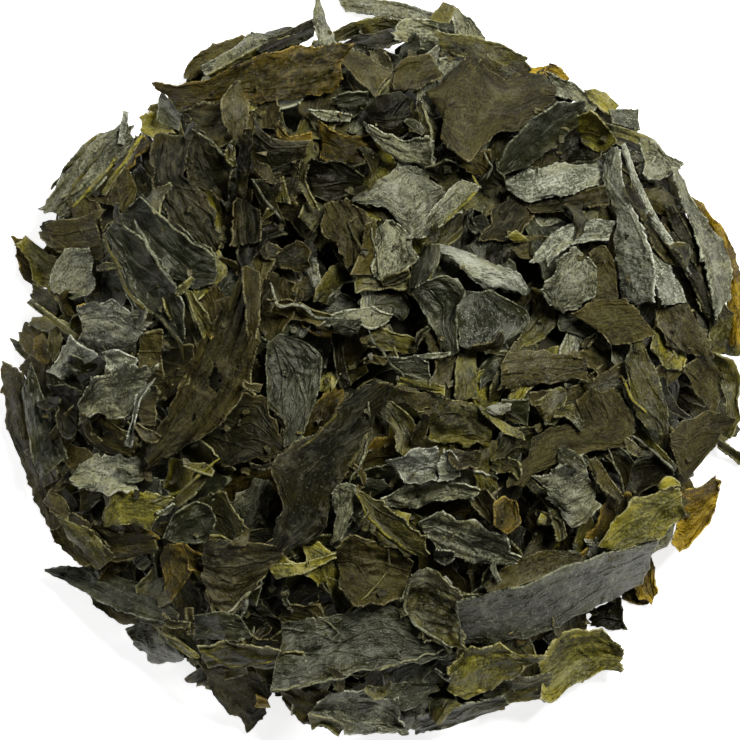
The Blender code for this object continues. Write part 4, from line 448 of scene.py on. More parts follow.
MIDDLE_FLAKES = (
    ("umber", "leaf", ((183, 112), (205, 106), (232, 106)), ((190, 135), (215, 150), (238, 142))),
    ("umber", "cup", ((255, 130), (258, 105), (272, 94)), ((278, 130), (282, 112), (276, 97))),
    ("tawny", "rolled", ((277, 125), (290, 138), (312, 134)), ((278, 138), (292, 147), (312, 142))),
    ("peat", "flat", ((256, 122), (272, 140), (312, 142)), ((250, 180), (270, 184), (298, 172))),
    ("umber", "flat", ((335, 50), (360, 55), (392, 72)), ((340, 62), (355, 80), (374, 98))),
    ("slate", "crumpled", ((332, 100), (345, 94), (368, 94)), ((342, 112), (352, 120), (366, 112))),
    ("ash", "rolled", ((308, 111), (330, 113), (355, 116)), ((312, 114), (325, 123), (350, 122))),
    ("umber", "ribbed", ((393, 72), (405, 58), (430, 55)), ((395, 90), (420, 91), (443, 76))),
    ("olive", "leaf", ((420, 102), (428, 118), (434, 140)), ((408, 138), (418, 141), (430, 142))),
    ("peat", "leaf", ((252, 180), (262, 205), (275, 220)), ((284, 182), (278, 205), (292, 238))),
    ("peat", "ribbed", ((236, 195), (232, 245)), ((262, 210), (262, 245))),
    ("umber", "leaf", ((127, 169), (112, 190), (108, 205)), ((130, 170), (138, 190), (130, 215))),
    ("moss", "rolled", ((160, 288), (168, 284), (178, 292), (180, 322)),
     ((166, 300), (168, 315), (178, 328))),
    ("olive", "rolled", ((178, 295), (198, 345)), ((186, 292), (202, 340))),
    ("olive", "rolled", ((186, 290), (205, 340)), ((194, 292), (218, 330))),
    ("umber", "leaf", ((140, 332), (165, 330)), ((142, 368), (165, 378))),
    ("olive", "rolled", ((28, 303), (78, 341)), ((32, 299), (82, 337))),
    ("amber", "leaf", ((78, 306), (82, 318), (86, 338)), ((86, 304), (90, 315), (90, 335))),
    ("umber", "leaf", ((142, 385), (160, 385)), ((140, 425), (158, 425))),
    ("umber", "leaf", ((78, 480), (106, 488)), ((80, 515), (92, 505))),
    ("olive", "rolled", ((172, 502), (190, 482), (212, 462)), ((180, 506), (196, 494), (214, 470))),
    ("slate", "leaf", ((192, 616), (216, 609), (242, 614)), ((195, 637), (222, 639), (255, 636))),
    ("olive", "ribbed", ((200, 645), (225, 640), (262, 645), (302, 651)),
     ((208, 667), (232, 662), (262, 667), (302, 661))),
    ("moss", "leaf", ((165, 633), (182, 640), (200, 655)), ((168, 640), (180, 650), (194, 658))),
    ("umber", "rolled", ((186, 606), (188, 634)), ((194, 606), (196, 634))),
    ("olive", "rolled", ((313, 303), (322, 278), (340, 262)), ((330, 308), (342, 290), (346, 268))),
    ("umber", "rolled", ((268, 300), (290, 300), (320, 312), (342, 318)),
     ((272, 312), (300, 322), (322, 326), (340, 322))),
    ("olive", "ribbed", ((360, 338), (372, 328), (396, 332), (424, 342)),
     ((362, 346), (385, 350), (405, 354), (424, 350))),
    ("ash", "rolled", ((398, 358), (425, 354), (450, 352)), ((400, 361), (425, 359), (448, 356))),
    ("ash", "flat", ((384, 358), (408, 357), (428, 362)), ((398, 374), (415, 378), (434, 381))),
    ("moss", "rolled", ((396, 378), (420, 380), (445, 386)), ((398, 384), (420, 389), (444, 395))),
    ("umber", "leaf", ((398, 388), (420, 392), (440, 396)), ((405, 402), (418, 412), (436, 404))),
    ("tawny", "leaf", ((302, 436), (310, 410), (324, 393)), ((322, 436), (332, 418), (346, 388))),
    ("moss", "leaf", ((319, 392), (322, 376), (330, 370)), ((330, 394), (336, 385), (340, 374))),
    ("olive", "leaf", ((350, 434), (344, 460), (336, 478)), ((368, 430), (366, 452), (356, 478))),
    ("black", "ribbed", ((332, 334), (334, 360), (340, 388)), ((342, 334), (344, 360), (352, 386))),
    ("moss", "leaf", ((247, 554), (258, 545), (276, 545)), ((256, 566), (272, 566), (290, 560))),
    ("moss", "rolled", ((268, 562), (300, 562), (336, 552)), ((278, 578), (305, 571), (336, 556))),
    ("olive", "leaf", ((325, 574), (332, 598), (339, 613)), ((341, 580), (347, 597), (357, 608))),
    ("slate", "leaf", ((383, 684), (402, 680), (432, 683)), ((393, 700), (404, 711), (426, 698))),
    ("olive", "cup", ((426, 720), (430, 702), (446, 690)), ((440, 722), (452, 712), (466, 704))),
    ("olive", "leaf", ((455, 402), (452, 378), (458, 351)), ((476, 398), (475, 375), (474, 350))),
    ("umber", "leaf", ((483, 584), (505, 564), (545, 549), (582, 552)),
     ((486, 592), (515, 585), (550, 572), (582, 560))),
    ("umber", "cup", ((468, 490), (472, 505), (490, 522)), ((486, 488), (496, 500), (500, 520))),
    ("umber", "leaf", ((588, 254), (604, 245), (614, 262)), ((592, 300), (606, 302), (618, 300))),
    ("olive", "leaf", ((486, 405), (492, 378), (514, 342)), ((498, 400), (508, 372), (525, 340))),
    ("slate", "leaf", ((500, 400), (528, 399)), ((506, 416), (526, 426))),
    ("olive", "leaf", ((532, 402), (548, 390), (564, 388)), ((541, 428), (552, 422), (566, 396))),
    ("black", "flat", ((620, 478), (640, 458), (662, 452)), ((630, 500), (655, 484), (676, 474))),
    ("peat", "leaf", ((604, 455), (616, 470), (620, 490)), ((612, 450), (630, 462), (628, 482))),
    ("olive", "rolled", ((634, 432), (650, 452), (672, 472)), ((640, 428), (660, 448), (674, 466))),
    ("umber", "rolled", ((584, 462), (598, 485), (618, 502)), ((594, 456), (610, 478), (622, 496))),
    ("olive", "rolled", ((522, 480), (545, 505), (556, 540)), ((530, 478), (556, 500), (566, 535))),
    ("peat", "leaf", ((481, 240), (492, 212), (512, 193)), ((500, 242), (520, 235), (536, 205))),
    ("peat", "ribbed", ((524, 206), (560, 199), (606, 186)), ((530, 214), (565, 212), (608, 205))),
    ("pale", "crumpled", ((530, 262), (545, 238), (578, 221), (616, 221)),
     ((545, 266), (562, 250), (580, 244), (606, 240))),
    ("umber", "cup", ((643, 192), (660, 188), (676, 200)), ((648, 205), (660, 215), (676, 220))),
    ("black", "leaf", ((664, 208), (672, 230), (690, 250)), ((672, 205), (684, 225), (694, 245))),
    ("moss", "rolled", ((504, 238), (514, 232)), ((514, 243), (528, 242))),
    ("black", "leaf", ((664, 236), (685, 275), (712, 328)), ((672, 232), (700, 275), (716, 322))),
)
TOP_FLAKES = (
    ("tawny", "leaf", ((354, 47), (300, 50), (260, 58), (205, 82), (156, 85)),
     ((335, 92), (280, 104), (222, 102), (183, 108), (158, 91))),
    ("umber", "leaf", ((240, 146), (224, 125), (222, 102), (237, 84)),
     ((243, 146), (248, 125), (249, 105), (240, 84))),
    ("tawny", "crumpled", ((318, 122), (345, 138), (370, 136)),
     ((320, 160), (345, 167), (366, 162), (378, 152))),
    ("black", "cup", ((366, 112), (380, 96), (402, 92)), ((372, 128), (395, 141), (414, 118))),
    ("ash", "ribbed", ((360, 122), (378, 131), (398, 141), (428, 138)),
     ((376, 146), (400, 162), (434, 172))),
    ("black", "cup", ((304, 166), (330, 160), (368, 176)), ((308, 198), (330, 204), (360, 194))),
    ("olive", "rolled", ((302, 162), (298, 180), (312, 210)), ((310, 168), (306, 182), (320, 212))),
    ("peat", "rolled", ((244, 130), (240, 165), (236, 195)), ((254, 132), (252, 165), (246, 200))),
    ("peat", "ribbed", ((155, 133), (152, 165), (160, 200), (175, 225), (218, 258)),
     ((196, 140), (187, 176), (206, 196), (217, 215), (221, 250))),
    ("peat", "leaf", ((196, 129), (187, 165), (190, 182), (222, 200)),
     ((200, 130), (217, 148), (236, 166), (228, 200))),
    ("slate", "leaf", ((118, 222), (145, 248), (170, 275), (190, 288), (217, 285)),
     ((132, 208), (143, 197), (175, 222), (218, 258))),
    ("slate", "leaf", ((104, 236), (113, 258), (127, 292), (150, 313), (184, 342)),
     ((120, 222), (140, 236), (168, 270), (184, 300), (188, 340))),
    ("ash", "flat", ((48, 285), (56, 262), (67, 250), (91, 247)),
     ((62, 297), (76, 303), (92, 290), (100, 280))),
    ("ash", "crumpled", ((80, 306), (100, 300), (120, 302), (147, 324)),
     ((78, 345), (100, 358), (125, 364), (139, 352))),
    ("pale", "crumpled", ((48, 372), (62, 355), (72, 336)), ((62, 381), (80, 368), (100, 356))),
    ("pale", "crumpled", ((104, 352), (120, 350), (138, 358)), ((108, 370), (118, 372), (136, 364))),
    ("ash", "crumpled", ((78, 402), (100, 378), (130, 367), (157, 370)),
     ((82, 422), (102, 412), (124, 420), (140, 400))),
    ("pale", "rolled", ((138, 395), (134, 420), (126, 446)), ((158, 378), (142, 400), (134, 447))),
    ("peat", "flat", ((205, 405), (235, 393), (262, 394), (284, 440)),
     ((206, 440), (222, 468), (245, 461), (276, 459))),
    ("umber", "ribbed", ((243, 275), (222, 310), (197, 350), (178, 395), (146, 458)),
     ((262, 300), (258, 350), (248, 390), (215, 430), (152, 466))),
    ("peat", "rolled", ((244, 268), (246, 300), (250, 335)), ((262, 272), (262, 305), (258, 340))),
    ("ash", "crumpled", ((72, 470), (92, 458), (118, 455), (142, 464)),
     ((82, 487), (105, 491), (142, 491))),
    ("moss", "leaf", ((104, 527), (107, 508), (114, 491), (148, 490), (171, 499)),
     ((116, 526), (135, 524), (152, 528), (160, 512))),
    ("slate", "cup", ((165, 537), (175, 512), (196, 500), (213, 504)),
     ((174, 541), (192, 543), (207, 541), (218, 520))),
    ("tawny", "leaf", ((163, 543), (165, 572), (171, 602)), ((184, 541), (196, 560), (180, 590))),
    ("tawny", "leaf", ((184, 541), (206, 556), (231, 568)), ((190, 568), (210, 575), (229, 579))),
    ("umber", "leaf", ((205, 541), (240, 538), (288, 545)),
     ((204, 592), (214, 606), (230, 616), (262, 580))),
    ("peat", "leaf", ((278, 257), (297, 240), (308, 246)), ((282, 268), (296, 274), (313, 268))),
    ("umber", "ribbed", ((325, 205), (322, 238), (338, 245), (348, 268)),
     ((347, 203), (366, 213), (372, 225), (360, 262))),
    ("umber", "ribbed", ((364, 225), (362, 250), (350, 276)), ((376, 222), (374, 250), (372, 276))),
    ("ash", "leaf", ((378, 228), (374, 255), (374, 279), (386, 286)),
     ((392, 219), (412, 238), (416, 260), (400, 274))),
    ("ash", "leaf", ((350, 201), (372, 185), (405, 164), (432, 178)),
     ((362, 204), (385, 208), (412, 238), (445, 198))),
    ("ash", "leaf", ((411, 238), (436, 205), (462, 178)), ((420, 240), (446, 225), (478, 190))),
    ("ash", "rolled", ((320, 326), (332, 316), (362, 308), (393, 315)),
     ((326, 327), (350, 322), (370, 330), (391, 322))),
    ("slate", "flat", ((268, 344), (265, 370), (268, 396), (282, 422), (285, 446)),
     ((280, 334), (303, 341), (323, 356), (318, 392), (300, 440))),
    ("olive", "leaf", ((375, 400), (384, 418), (396, 432), (396, 452)),
     ((392, 401), (412, 418), (416, 438), (404, 456))),
    ("olive", "crumpled", ((420, 412), (442, 400), (470, 402), (500, 425)),
     ((430, 440), (455, 442), (485, 447))),
    ("moss", "rolled", ((478, 405), (498, 420), (522, 432)), ((482, 414), (502, 432), (524, 440))),
    ("peat", "flat", ((376, 378), (350, 395), (330, 422), (296, 442), (272, 466), (283, 500), (272, 545)),
     ((394, 388), (374, 420), (356, 450), (340, 480), (330, 510), (322, 532), (288, 552))),
    ("ash", "crumpled", ((380, 498), (404, 484), (455, 480), (482, 488)),
     ((386, 504), (410, 507), (440, 499), (470, 496))),
    ("pale", "leaf", ((387, 461), (408, 450), (436, 446)), ((402, 472), (404, 481), (436, 480))),
    ("pale", "leaf", ((438, 448), (450, 448), (458, 462)), ((440, 479), (452, 479), (462, 476))),
    ("ash", "leaf", ((330, 492), (336, 515), (332, 541)), ((345, 480), (356, 484), (354, 505), (342, 538))),
    ("umber", "cup", ((336, 545), (355, 535), (385, 545), (412, 560)),
     ((340, 582), (355, 605), (385, 600), (404, 596))),
    ("olive", "leaf", ((357, 492), (366, 512), (362, 521), (385, 543), (410, 556)),
     ((364, 492), (390, 508), (418, 530), (430, 553))),
    ("ash", "ribbed", ((420, 520), (436, 512), (470, 520), (505, 538), (519, 555)),
     ((422, 532), (440, 548), (465, 559), (512, 563))),
    ("slate", "flat", ((283, 622), (310, 617), (345, 612), (375, 601), (398, 606), (425, 634), (452, 648)),
     ((270, 690), (300, 684), (350, 671), (400, 664), (432, 659), (452, 650))),
    ("olive", "crumpled", ((401, 600), (408, 578), (426, 565), (458, 588)),
     ((402, 612), (420, 625), (424, 640), (462, 645))),
    ("moss", "crumpled", ((446, 672), (470, 645), (505, 645), (538, 657)),
     ((450, 694), (466, 701), (490, 687), (528, 668))),
    ("slate", "flat", ((456, 600), (490, 590), (525, 583), (560, 566), (605, 552), (656, 541)),
     ((462, 642), (500, 641), (540, 632), (575, 616), (608, 600), (643, 583))),
    ("moss", "leaf", ((596, 546), (612, 520), (630, 503), (655, 490), (672, 485)),
     ((622, 549), (648, 540), (668, 530), (687, 512))),
    ("tawny", "cup", ((492, 524), (493, 505), (504, 495)), ((506, 536), (518, 520), (516, 498))),
    ("ash", "crumpled", ((537, 478), (560, 465), (582, 460)), ((556, 508), (572, 528), (600, 505))),
    ("umber", "ribbed", ((505, 352), (545, 351), (588, 360)), ((495, 390), (540, 384), (584, 378))),
    ("olive", "leaf", ((625, 345), (622, 372), (634, 408), (646, 431)),
     ((642, 345), (655, 372), (664, 402), (668, 434))),
    ("umber", "flat", ((665, 432), (684, 420), (705, 411), (736, 418)),
     ((672, 452), (683, 482), (700, 462), (718, 438))),
    ("umber", "flat", ((568, 313), (600, 300), (622, 300)), ((600, 332), (610, 345), (658, 335))),
    ("umber", "flat",
     ((506, 486), (508, 474), (528, 452), (532, 436), (560, 425), (581, 419), (576, 400), (580, 390)),
     ((518, 484), (545, 466), (575, 455), (600, 448), (622, 446), (633, 432), (628, 408), (612, 390))),
    ("slate", "leaf", ((410, 290), (420, 308), (434, 332), (450, 358)),
     ((424, 281), (446, 276), (466, 291), (454, 318), (459, 352))),
    ("slate", "flat", ((466, 291), (455, 312), (459, 345), (470, 350)),
     ((490, 292), (522, 308), (530, 322), (500, 345))),
    ("pale", "rolled", ((430, 252), (448, 258), (470, 280), (490, 292)),
     ((438, 246), (462, 252), (485, 262), (520, 275), (528, 290))),
    ("slate", "rolled", ((408, 290), (412, 268), (424, 248)), ((424, 283), (438, 265), (440, 244))),
    ("ash", "cup", ((568, 247), (556, 264), (543, 288), (548, 304)),
     ((586, 252), (596, 270), (594, 297), (562, 314))),
    ("umber", "leaf", ((656, 300), (657, 322), (664, 346)), ((684, 303), (702, 332), (712, 358))),
    ("moss", "rolled", ((572, 125), (590, 112), (608, 130)), ((580, 142), (600, 153), (620, 142))),
    ("slate", "leaf", ((494, 178), (508, 145), (535, 118), (556, 105), (582, 103)),
     ((500, 178), (525, 168), (556, 146), (574, 128), (583, 110))),
    ("pale", "ribbed", ((503, 182), (525, 172), (560, 165), (599, 162)),
     ((505, 191), (526, 203), (560, 197), (602, 184))),
    ("ash", "leaf", ((670, 166), (676, 192), (694, 235), (708, 285), (714, 318)),
     ((676, 166), (690, 198), (712, 228), (730, 262), (728, 300))),
    ("pale", "flat", ((636, 226), (640, 252), (650, 280), (662, 306)),
     ((642, 228), (658, 254), (671, 272), (685, 303))),
    ("pale", "flat", ((601, 153), (604, 178), (609, 200), (616, 225), (612, 240), (618, 270), (619, 301)),
     ((616, 149), (622, 178), (629, 205), (638, 226), (649, 248), (652, 276), (652, 304))),
    ("umber", "cup", ((642, 222), (650, 244), (664, 264)), ((658, 232), (668, 246), (678, 268))),
    ("pale", "rolled", ((620, 146), (630, 180), (641, 210), (660, 240), (684, 270)),
     ((624, 144), (637, 180), (651, 210), (666, 234), (690, 276))),
    ("umber", "leaf", ((442, 162), (462, 168), (482, 181)), ((474, 150), (488, 152), (492, 165))),
    ("umber", "flat",
     ((427, 96), (445, 78), (466, 60), (477, 58), (488, 72), (505, 80), (545, 73), (557, 88)),
     ((432, 106), (446, 128), (440, 140), (466, 163), (480, 150), (492, 138), (515, 132), (552, 103))),
)

top_flakes = len(flakes) + len(RIM_FLAKES) + len(MIDDLE_FLAKES)
for rows, rest in ((RIM_FLAKES, RIM_REST), (MIDDLE_FLAKES, MIDDLE_REST), (TOP_FLAKES, TOP_REST)):
    for colour, form, left, right in rows:
        margins = []
        for side in (left, right):
            steps = (np.array(side, dtype=float) - LAYOUT_CENTRE) * LAYOUT_STEP
            margins.append(steps * (1, -1))
        flakes.append(make_flake(colour, form, margins[0], margins[1], LARGE_LEAN, rng))
        lay(flakes[-1], len(flakes) - 1, relief, owner, *rest)

# ---------------------------------------------------------------------------------------------------
# Chips and slivers
# Broken bits a few millimetres long slide down until they lodge in the hollows between large flakes.

CHIPS = 130               # how many spots get one if they are hollow, and how far out and how long (m)
CHIP_RADIUS = 0.0455
CHIP_SIZE = 0.0034
# This mix leans to dark leaf; on chips lodged in the hollows that darkness is partly painted shade.
CHIP_COLOURS = {"umber": 0.28, "slate": 0.15, "olive": 0.24, "black": 0.12, "peat": 0.14, "moss": 0.03,
                "amber": 0.01, "ash": 0.03}
CHIP_FORMS = {"leaf": 0.35, "ribbed": 0.15, "crumpled": 0.15, "rolled": 0.35}
CHIP_REST = (0.60, 85)
CHIP_SPOTS = 6            # a chip ends at the deepest of so many spots within its stray
CHIP_STRAY = 0.002
HOLLOW = 0.0009           # how much lower than round it a spot is for a chip to lodge there
HOLLOW_CELLS = 4          # how far to each side the relief is made even to find the hollows


def smoothed(relief, cells):
    """The relief with each cell made the mean of those round it."""
    kernel = np.ones(2 * cells + 1) / (2 * cells + 1)
    relief = np.apply_along_axis(np.convolve, 0, relief, kernel, mode="same")
    return np.apply_along_axis(np.convolve, 1, relief, kernel, mode="same")


chip_rng = np.random.default_rng(7)
depth = smoothed(smoothed(relief, HOLLOW_CELLS), HOLLOW_CELLS) - relief
chips = []
for number in range(CHIPS):
    reach = CHIP_RADIUS * math.sqrt((number + 0.5) / CHIPS)
    turn = number * GOLDEN_ANGLE + 1.0
    stray = chip_rng.uniform(-CHIP_STRAY, CHIP_STRAY, (CHIP_SPOTS, 2))
    spots = np.array([math.cos(turn), math.sin(turn)]) * reach + stray
    deepest = spots[np.argmax(depth[cells_at(spots)])]
    if depth[cells_at(deepest)] < HOLLOW or owner[cells_at(deepest)] >= top_flakes:
        continue
    chips.append(loose_flake(chip_rng, deepest, CHIP_SIZE, CHIP_COLOURS, CHIP_FORMS))
    lay(chips[-1], len(flakes) + len(chips) - 1, relief, owner, *CHIP_REST)

# ---------------------------------------------------------------------------------------------------
# Flakes on the table
# At the foot of the heap dark flakes lie flat on the table, and a ring of small ones leans on the packed
# middle all round, mostly hidden from above. Each row has the colour, the middle, the length, the width
# and the turn from +X in degrees, the first four in steps of the layout.

FOOT_FLAKES = (
    ("black", 546, 642, 46, 30, 20),
    ("black", 455, 690, 60, 26, 5),
    ("peat", 250, 668, 30, 22, -30),
    ("black", 268, 686, 26, 18, 40),
    ("peat", 122, 578, 34, 20, -40),
    ("black", 141, 618, 30, 20, -35),
    ("olive", 690, 410, 36, 26, 80),
    ("olive", 722, 400, 30, 18, 95),
    ("tawny", 709, 290, 40, 16, 115),
    ("black", 360, 48, 40, 20, 0),
    ("black", 416, 50, 44, 20, 5),
    ("peat", 518, 66, 30, 20, -20),
    ("peat", 549, 80, 30, 20, -30),
    ("peat", 66, 214, 28, 18, 60),
    ("black", 58, 468, 40, 20, 100),
    ("peat", 58, 522, 34, 18, 120),
    ("black", 331, 692, 34, 22, 10),
    ("black", 474, 700, 48, 24, 10),
)
FOOT_PROFILE = (0.35, 1.0, 0.85, 0.30)
RING_FLAKES = 96                     # their number, how far out their middles lie, and their length (m)
RING_REACH = (0.0402, 0.0426)
RING_SIZE = 0.0064


def foot_flake(colour, x, y, long, wide, turn, foot_rng):
    """A flake whose margins stand the profile's shares of half its width from its middle line."""
    middle = (np.array([x, y], dtype=float) - LAYOUT_CENTRE) * LAYOUT_STEP * (1, -1)
    ahead = np.array([math.cos(math.radians(turn)), math.sin(math.radians(turn))])
    aside = np.array([-ahead[1], ahead[0]])
    spine = middle + np.linspace(-0.5, 0.5, 4)[:, None] * long * LAYOUT_STEP * ahead
    half = 0.5 * wide * LAYOUT_STEP * np.array(FOOT_PROFILE)[:, None] * aside
    flake = make_flake(colour, "leaf", spine + half, spine - half, 0.0, foot_rng)
    lay(flake, 0, np.zeros_like(relief), owner.copy(), *LOOSE_REST)
    return flake


foot_rng = np.random.default_rng(3)
foot_flakes = [foot_flake(*row, foot_rng) for row in FOOT_FLAKES]
for turn in 2 * math.pi * np.arange(RING_FLAKES) / RING_FLAKES:
    place = np.array([math.cos(turn), math.sin(turn)]) * foot_rng.uniform(*RING_REACH)
    foot_flakes.append(loose_flake(foot_rng, place, RING_SIZE, CHIP_COLOURS, CHIP_FORMS))
    lay(foot_flakes[-1], 0, core_relief.copy(), owner.copy(), *SKIRT_REST)

# ---------------------------------------------------------------------------------------------------
# The leaf as it shows
# All the leaf of one colour is one piece: many thin closed sheets, their two faces split alike. Each
# point knows where it is on its own leaf, how far it is from the torn margin, and how its leaf dried.

LEAF_THICKNESS = 0.00020
LARGE_CELL = 0.00029                 # the side of a cell on a large leaf that shows all of its face
LOOSE_CELL = 0.00042
HIDDEN_CELLS = 2.8                   # how many times longer a cell is on a leaf that is buried
RIB_CELL = 0.75                      # and how much shorter it is across the ribs
WIDER = 1.15                         # a leaf's greatest width, over its width halfway
CROWDED = (0.05, 0.09)               # how much closer cells lie at the ends and at the margins
FINE_TEAR = 0.00016                  # depth and spacing of fine tears, and spacing of the patches of them
TEAR_SPACING = 0.0007
TEAR_PATCH = 0.0045
TEAR_FROM = 0.6                      # they fade inwards from the margin to this share of the half width
TEAR_MORE = 0.3                      # what is added to a patch's depth, and the least that it then has
TEAR_LEAST = 0.1
FINE_WRINKLE = 0.000030              # height of fine wrinkles
CRUMPLED_WRINKLE = 0.10              # what the leaf's crumples add to it, as a share of their own height
FINE_SPACING = 0.00090
FINE_STRETCH = 0.60                  # fine wrinkles are longer along the leaf than across it
LOWEST = 0.3 * FLOOR_GAP             # no point of a leaf lies lower than this
LARGE_LENGTH = 0.0100                # a leaf longer than this keeps near the tone of its colour
LARGE_TONE = 0.35
PATTERN_APART = (0.06, 0.11, 0.02)   # how far apart the patterns on two leaves lie at most
BLOOM = (1.2, 3.0)                   # the beta distribution of the salt on a leaf: most have little
HOLES = ((217, 378, 6.5, 14), (196, 417, 2.5, 4))    # middle, half width and half length in layout steps
HOLE_TAPER = 0.8                     # how much narrower it is at its far end, and its least share
HOLE_NECK = 0.3


def closed(middle, lift, kept=None):
    """The grid moved by the lift and by its opposite, both faces split alike, with a rim between.

    Only the cells that are kept are made, and the rim also goes round the holes.
    """
    points = np.concatenate([(middle + lift).reshape(-1, 3), (middle - lift).reshape(-1, 3)])
    grid = np.arange(middle.shape[0] * middle.shape[1]).reshape(middle.shape[:2])
    upper = np.stack([grid[:-1, :-1], grid[1:, :-1], grid[1:, 1:], grid[:-1, 1:]], axis=-1).reshape(-1, 4)
    upper = upper if kept is None else upper[kept.ravel()]
    start, end = upper.ravel(), np.roll(upper, -1, axis=1).ravel()
    on_border = ~np.isin(start * grid.size + end, end * grid.size + start)
    start, end = start[on_border], end[on_border]
    rim = np.stack([start, start + grid.size, end + grid.size, end], axis=-1)
    faces = np.concatenate([upper, upper[:, ::-1] + grid.size, rim])
    corner = np.cross(middle[1, 0] - middle[0, 0], middle[0, 1] - middle[0, 0])
    if corner @ np.broadcast_to(lift, middle.shape)[0, 0] < 0:
        faces = faces[:, ::-1]
    return points, faces, np.arange(len(faces)) >= 2 * len(upper)


def upward(middle):
    """The grid's unit normals, which point up on the whole."""
    normal = np.cross(np.gradient(middle, axis=0), np.gradient(middle, axis=1))
    normal = normal / np.maximum(np.linalg.norm(normal, axis=-1, keepdims=True), 1e-12)
    return normal * np.sign(normal[..., 2].sum())


def knowing(points, faces, on_rim, where, from_margin, tone, bloom):
    """A closed sheet with what each point knows. Its two faces know the same places on the leaf."""
    return {
        "points": points, "faces": faces, "on_rim": on_rim,
        "leaf_place": np.tile(where.reshape(-1, 3), (2, 1)),
        "from_margin": np.broadcast_to(from_margin, len(points)),
        "leaf_tone": np.full(len(points), tone),
        "leaf_bloom": np.full(len(points), bloom),
    }


def in_hole(middle):
    """Which cells have their middle in a hole: an ellipse whose far half is drawn out thin."""
    cells = (middle[:-1, :-1] + middle[1:, :-1] + middle[:-1, 1:] + middle[1:, 1:])[..., :2] / 4
    inside = np.zeros(cells.shape[:2], dtype=bool)
    for x, y, half_wide, half_long in HOLES:
        steps = cells / LAYOUT_STEP * (1, -1) + LAYOUT_CENTRE - (x, y)
        narrowed = half_wide * np.clip(1 + HOLE_TAPER * steps[..., 1] / half_long, HOLE_NECK, 1)
        inside |= (steps[..., 0] / narrowed) ** 2 + (steps[..., 1] / half_long) ** 2 < 1
    return inside


def closed_sheet(flake, side, leaf_rng):
    """The sheet as a closed thin body of about the cell side, and what its points know.

    The grid's lines lie closer near the margins and the ends: each share less a part of its sine.
    Fine tears move the margins in and out, and fine wrinkles lift the face along its normal.
    """
    along_count = max(5, math.ceil(flake["length"] / side))
    across_count = max(4, math.ceil(WIDER * flake["width"] / (RIB_CELL * side)))
    u, v = shares(along_count, across_count)
    u = u - CROWDED[0] * np.sin(2 * math.pi * u)
    v = v - CROWDED[1] * np.sin(2 * math.pi * v)
    place_along = (u - 0.5) * flake["length"]
    place_across = (v - 0.5) * flake["width"]
    at_margin = np.clip((np.abs(2 * v - 1) - TEAR_FROM) / (1 - TEAR_FROM), 0, 1) * np.sign(v - 0.5)
    tear = FINE_TEAR * toothed(waves(leaf_rng, TEAR_SPACING, 4), place_along, place_across)
    patch = swell(waves(leaf_rng, TEAR_PATCH, 3), place_along, place_across)
    tear = tear * np.clip(patch + TEAR_MORE, TEAR_LEAST, 1)
    middle = sheet(flake, u, v + at_margin * tear / max(flake["width"], THIN_TIP))
    normal = upward(middle)
    wrinkle = creased(waves(leaf_rng, FINE_SPACING, 6), FINE_STRETCH * place_along, place_across)
    wrinkle = wrinkle * (FINE_WRINKLE + CRUMPLED_WRINKLE * flake["crumple"])
    middle = middle + normal * wrinkle[..., None]
    points, faces, on_rim = closed(middle, normal * 0.5 * LEAF_THICKNESS, ~in_hole(middle))
    points[:, 2] = np.maximum(points[:, 2], LOWEST)
    from_margin = np.minimum(np.minimum(u, 1 - u) * flake["length"], np.minimum(v, 1 - v) * flake["width"])
    own = leaf_rng.uniform(0, 1) * np.array(PATTERN_APART)
    where = np.stack([place_along + own[0], place_across + own[1], np.full_like(u, own[2])], axis=-1)
    tone = leaf_rng.normal(0, 1) * (LARGE_TONE if flake["length"] > LARGE_LENGTH else 1.0)
    bloom = leaf_rng.beta(*BLOOM)
    return knowing(points, faces, on_rim, where, np.tile(from_margin.ravel(), 2), tone, bloom)


def heap_piece(name, mesh):
    """The mesh as one visible piece of the heap."""
    piece = bpy.data.objects.new(name, mesh)
    bpy.context.scene.collection.objects.link(piece)
    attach(piece, "root")
    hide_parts("wakame_heap")
    return piece


def leaf_piece(name, sheets):
    """One mesh of many sheets, with what each point knows kept as attributes.

    Points in a hole belong to no face and are left out.
    """
    starts = np.cumsum([0] + [len(each["points"]) for each in sheets[:-1]])
    faces = np.concatenate([each["faces"] + start for each, start in zip(sheets, starts)])
    used, faces = np.unique(faces, return_inverse=True)
    faces = faces.reshape(-1, 4)
    points = np.concatenate([each["points"] for each in sheets])[used]
    mesh = bpy.data.meshes.new(name)
    mesh.from_pydata(points.tolist(), [], faces.tolist())
    on_rim = np.concatenate([each["on_rim"] for each in sheets])
    mesh.polygons.foreach_set("use_smooth", ~on_rim)
    place = mesh.attributes.new("leaf_place", "FLOAT_VECTOR", "POINT")
    place.data.foreach_set("vector", np.concatenate([each["leaf_place"] for each in sheets])[used].ravel())
    for fact in ("from_margin", "leaf_tone", "leaf_bloom"):
        attribute = mesh.attributes.new(fact, "FLOAT", "POINT")
        attribute.data.foreach_set("value", np.concatenate([each[fact] for each in sheets])[used])
    return heap_piece(name, mesh)


# What every colour of leaf shares: fibres along the leaf, wrinkles and sharp creases, lightened partly
# as dust and partly as painted highlight, blotches, the pale torn line, partly the torn edge's own colour
# and partly a painted highlight where the edge catches the light, thin yellow parts near it, partly
# their own colour and partly painted light shining through thin leaf, dried salt in patches and grains,
# and dark specks. One group puts out these.

def noise(tree, vector, stretch, size, detail, rough):
    """Noise on the vector stretched by a factor on each axis, about one blotch in each size (m)."""
    mapping = tree.nodes.new("ShaderNodeMapping")
    mapping.inputs["Scale"].default_value = stretch
    texture = tree.nodes.new("ShaderNodeTexNoise")
    texture.inputs["Scale"].default_value = 1 / size
    texture.inputs["Detail"].default_value = detail
    texture.inputs["Roughness"].default_value = rough
    tree.links.new(vector, mapping.inputs["Vector"])
    tree.links.new(mapping.outputs["Vector"], texture.inputs["Vector"])
    return texture.outputs["Fac"]


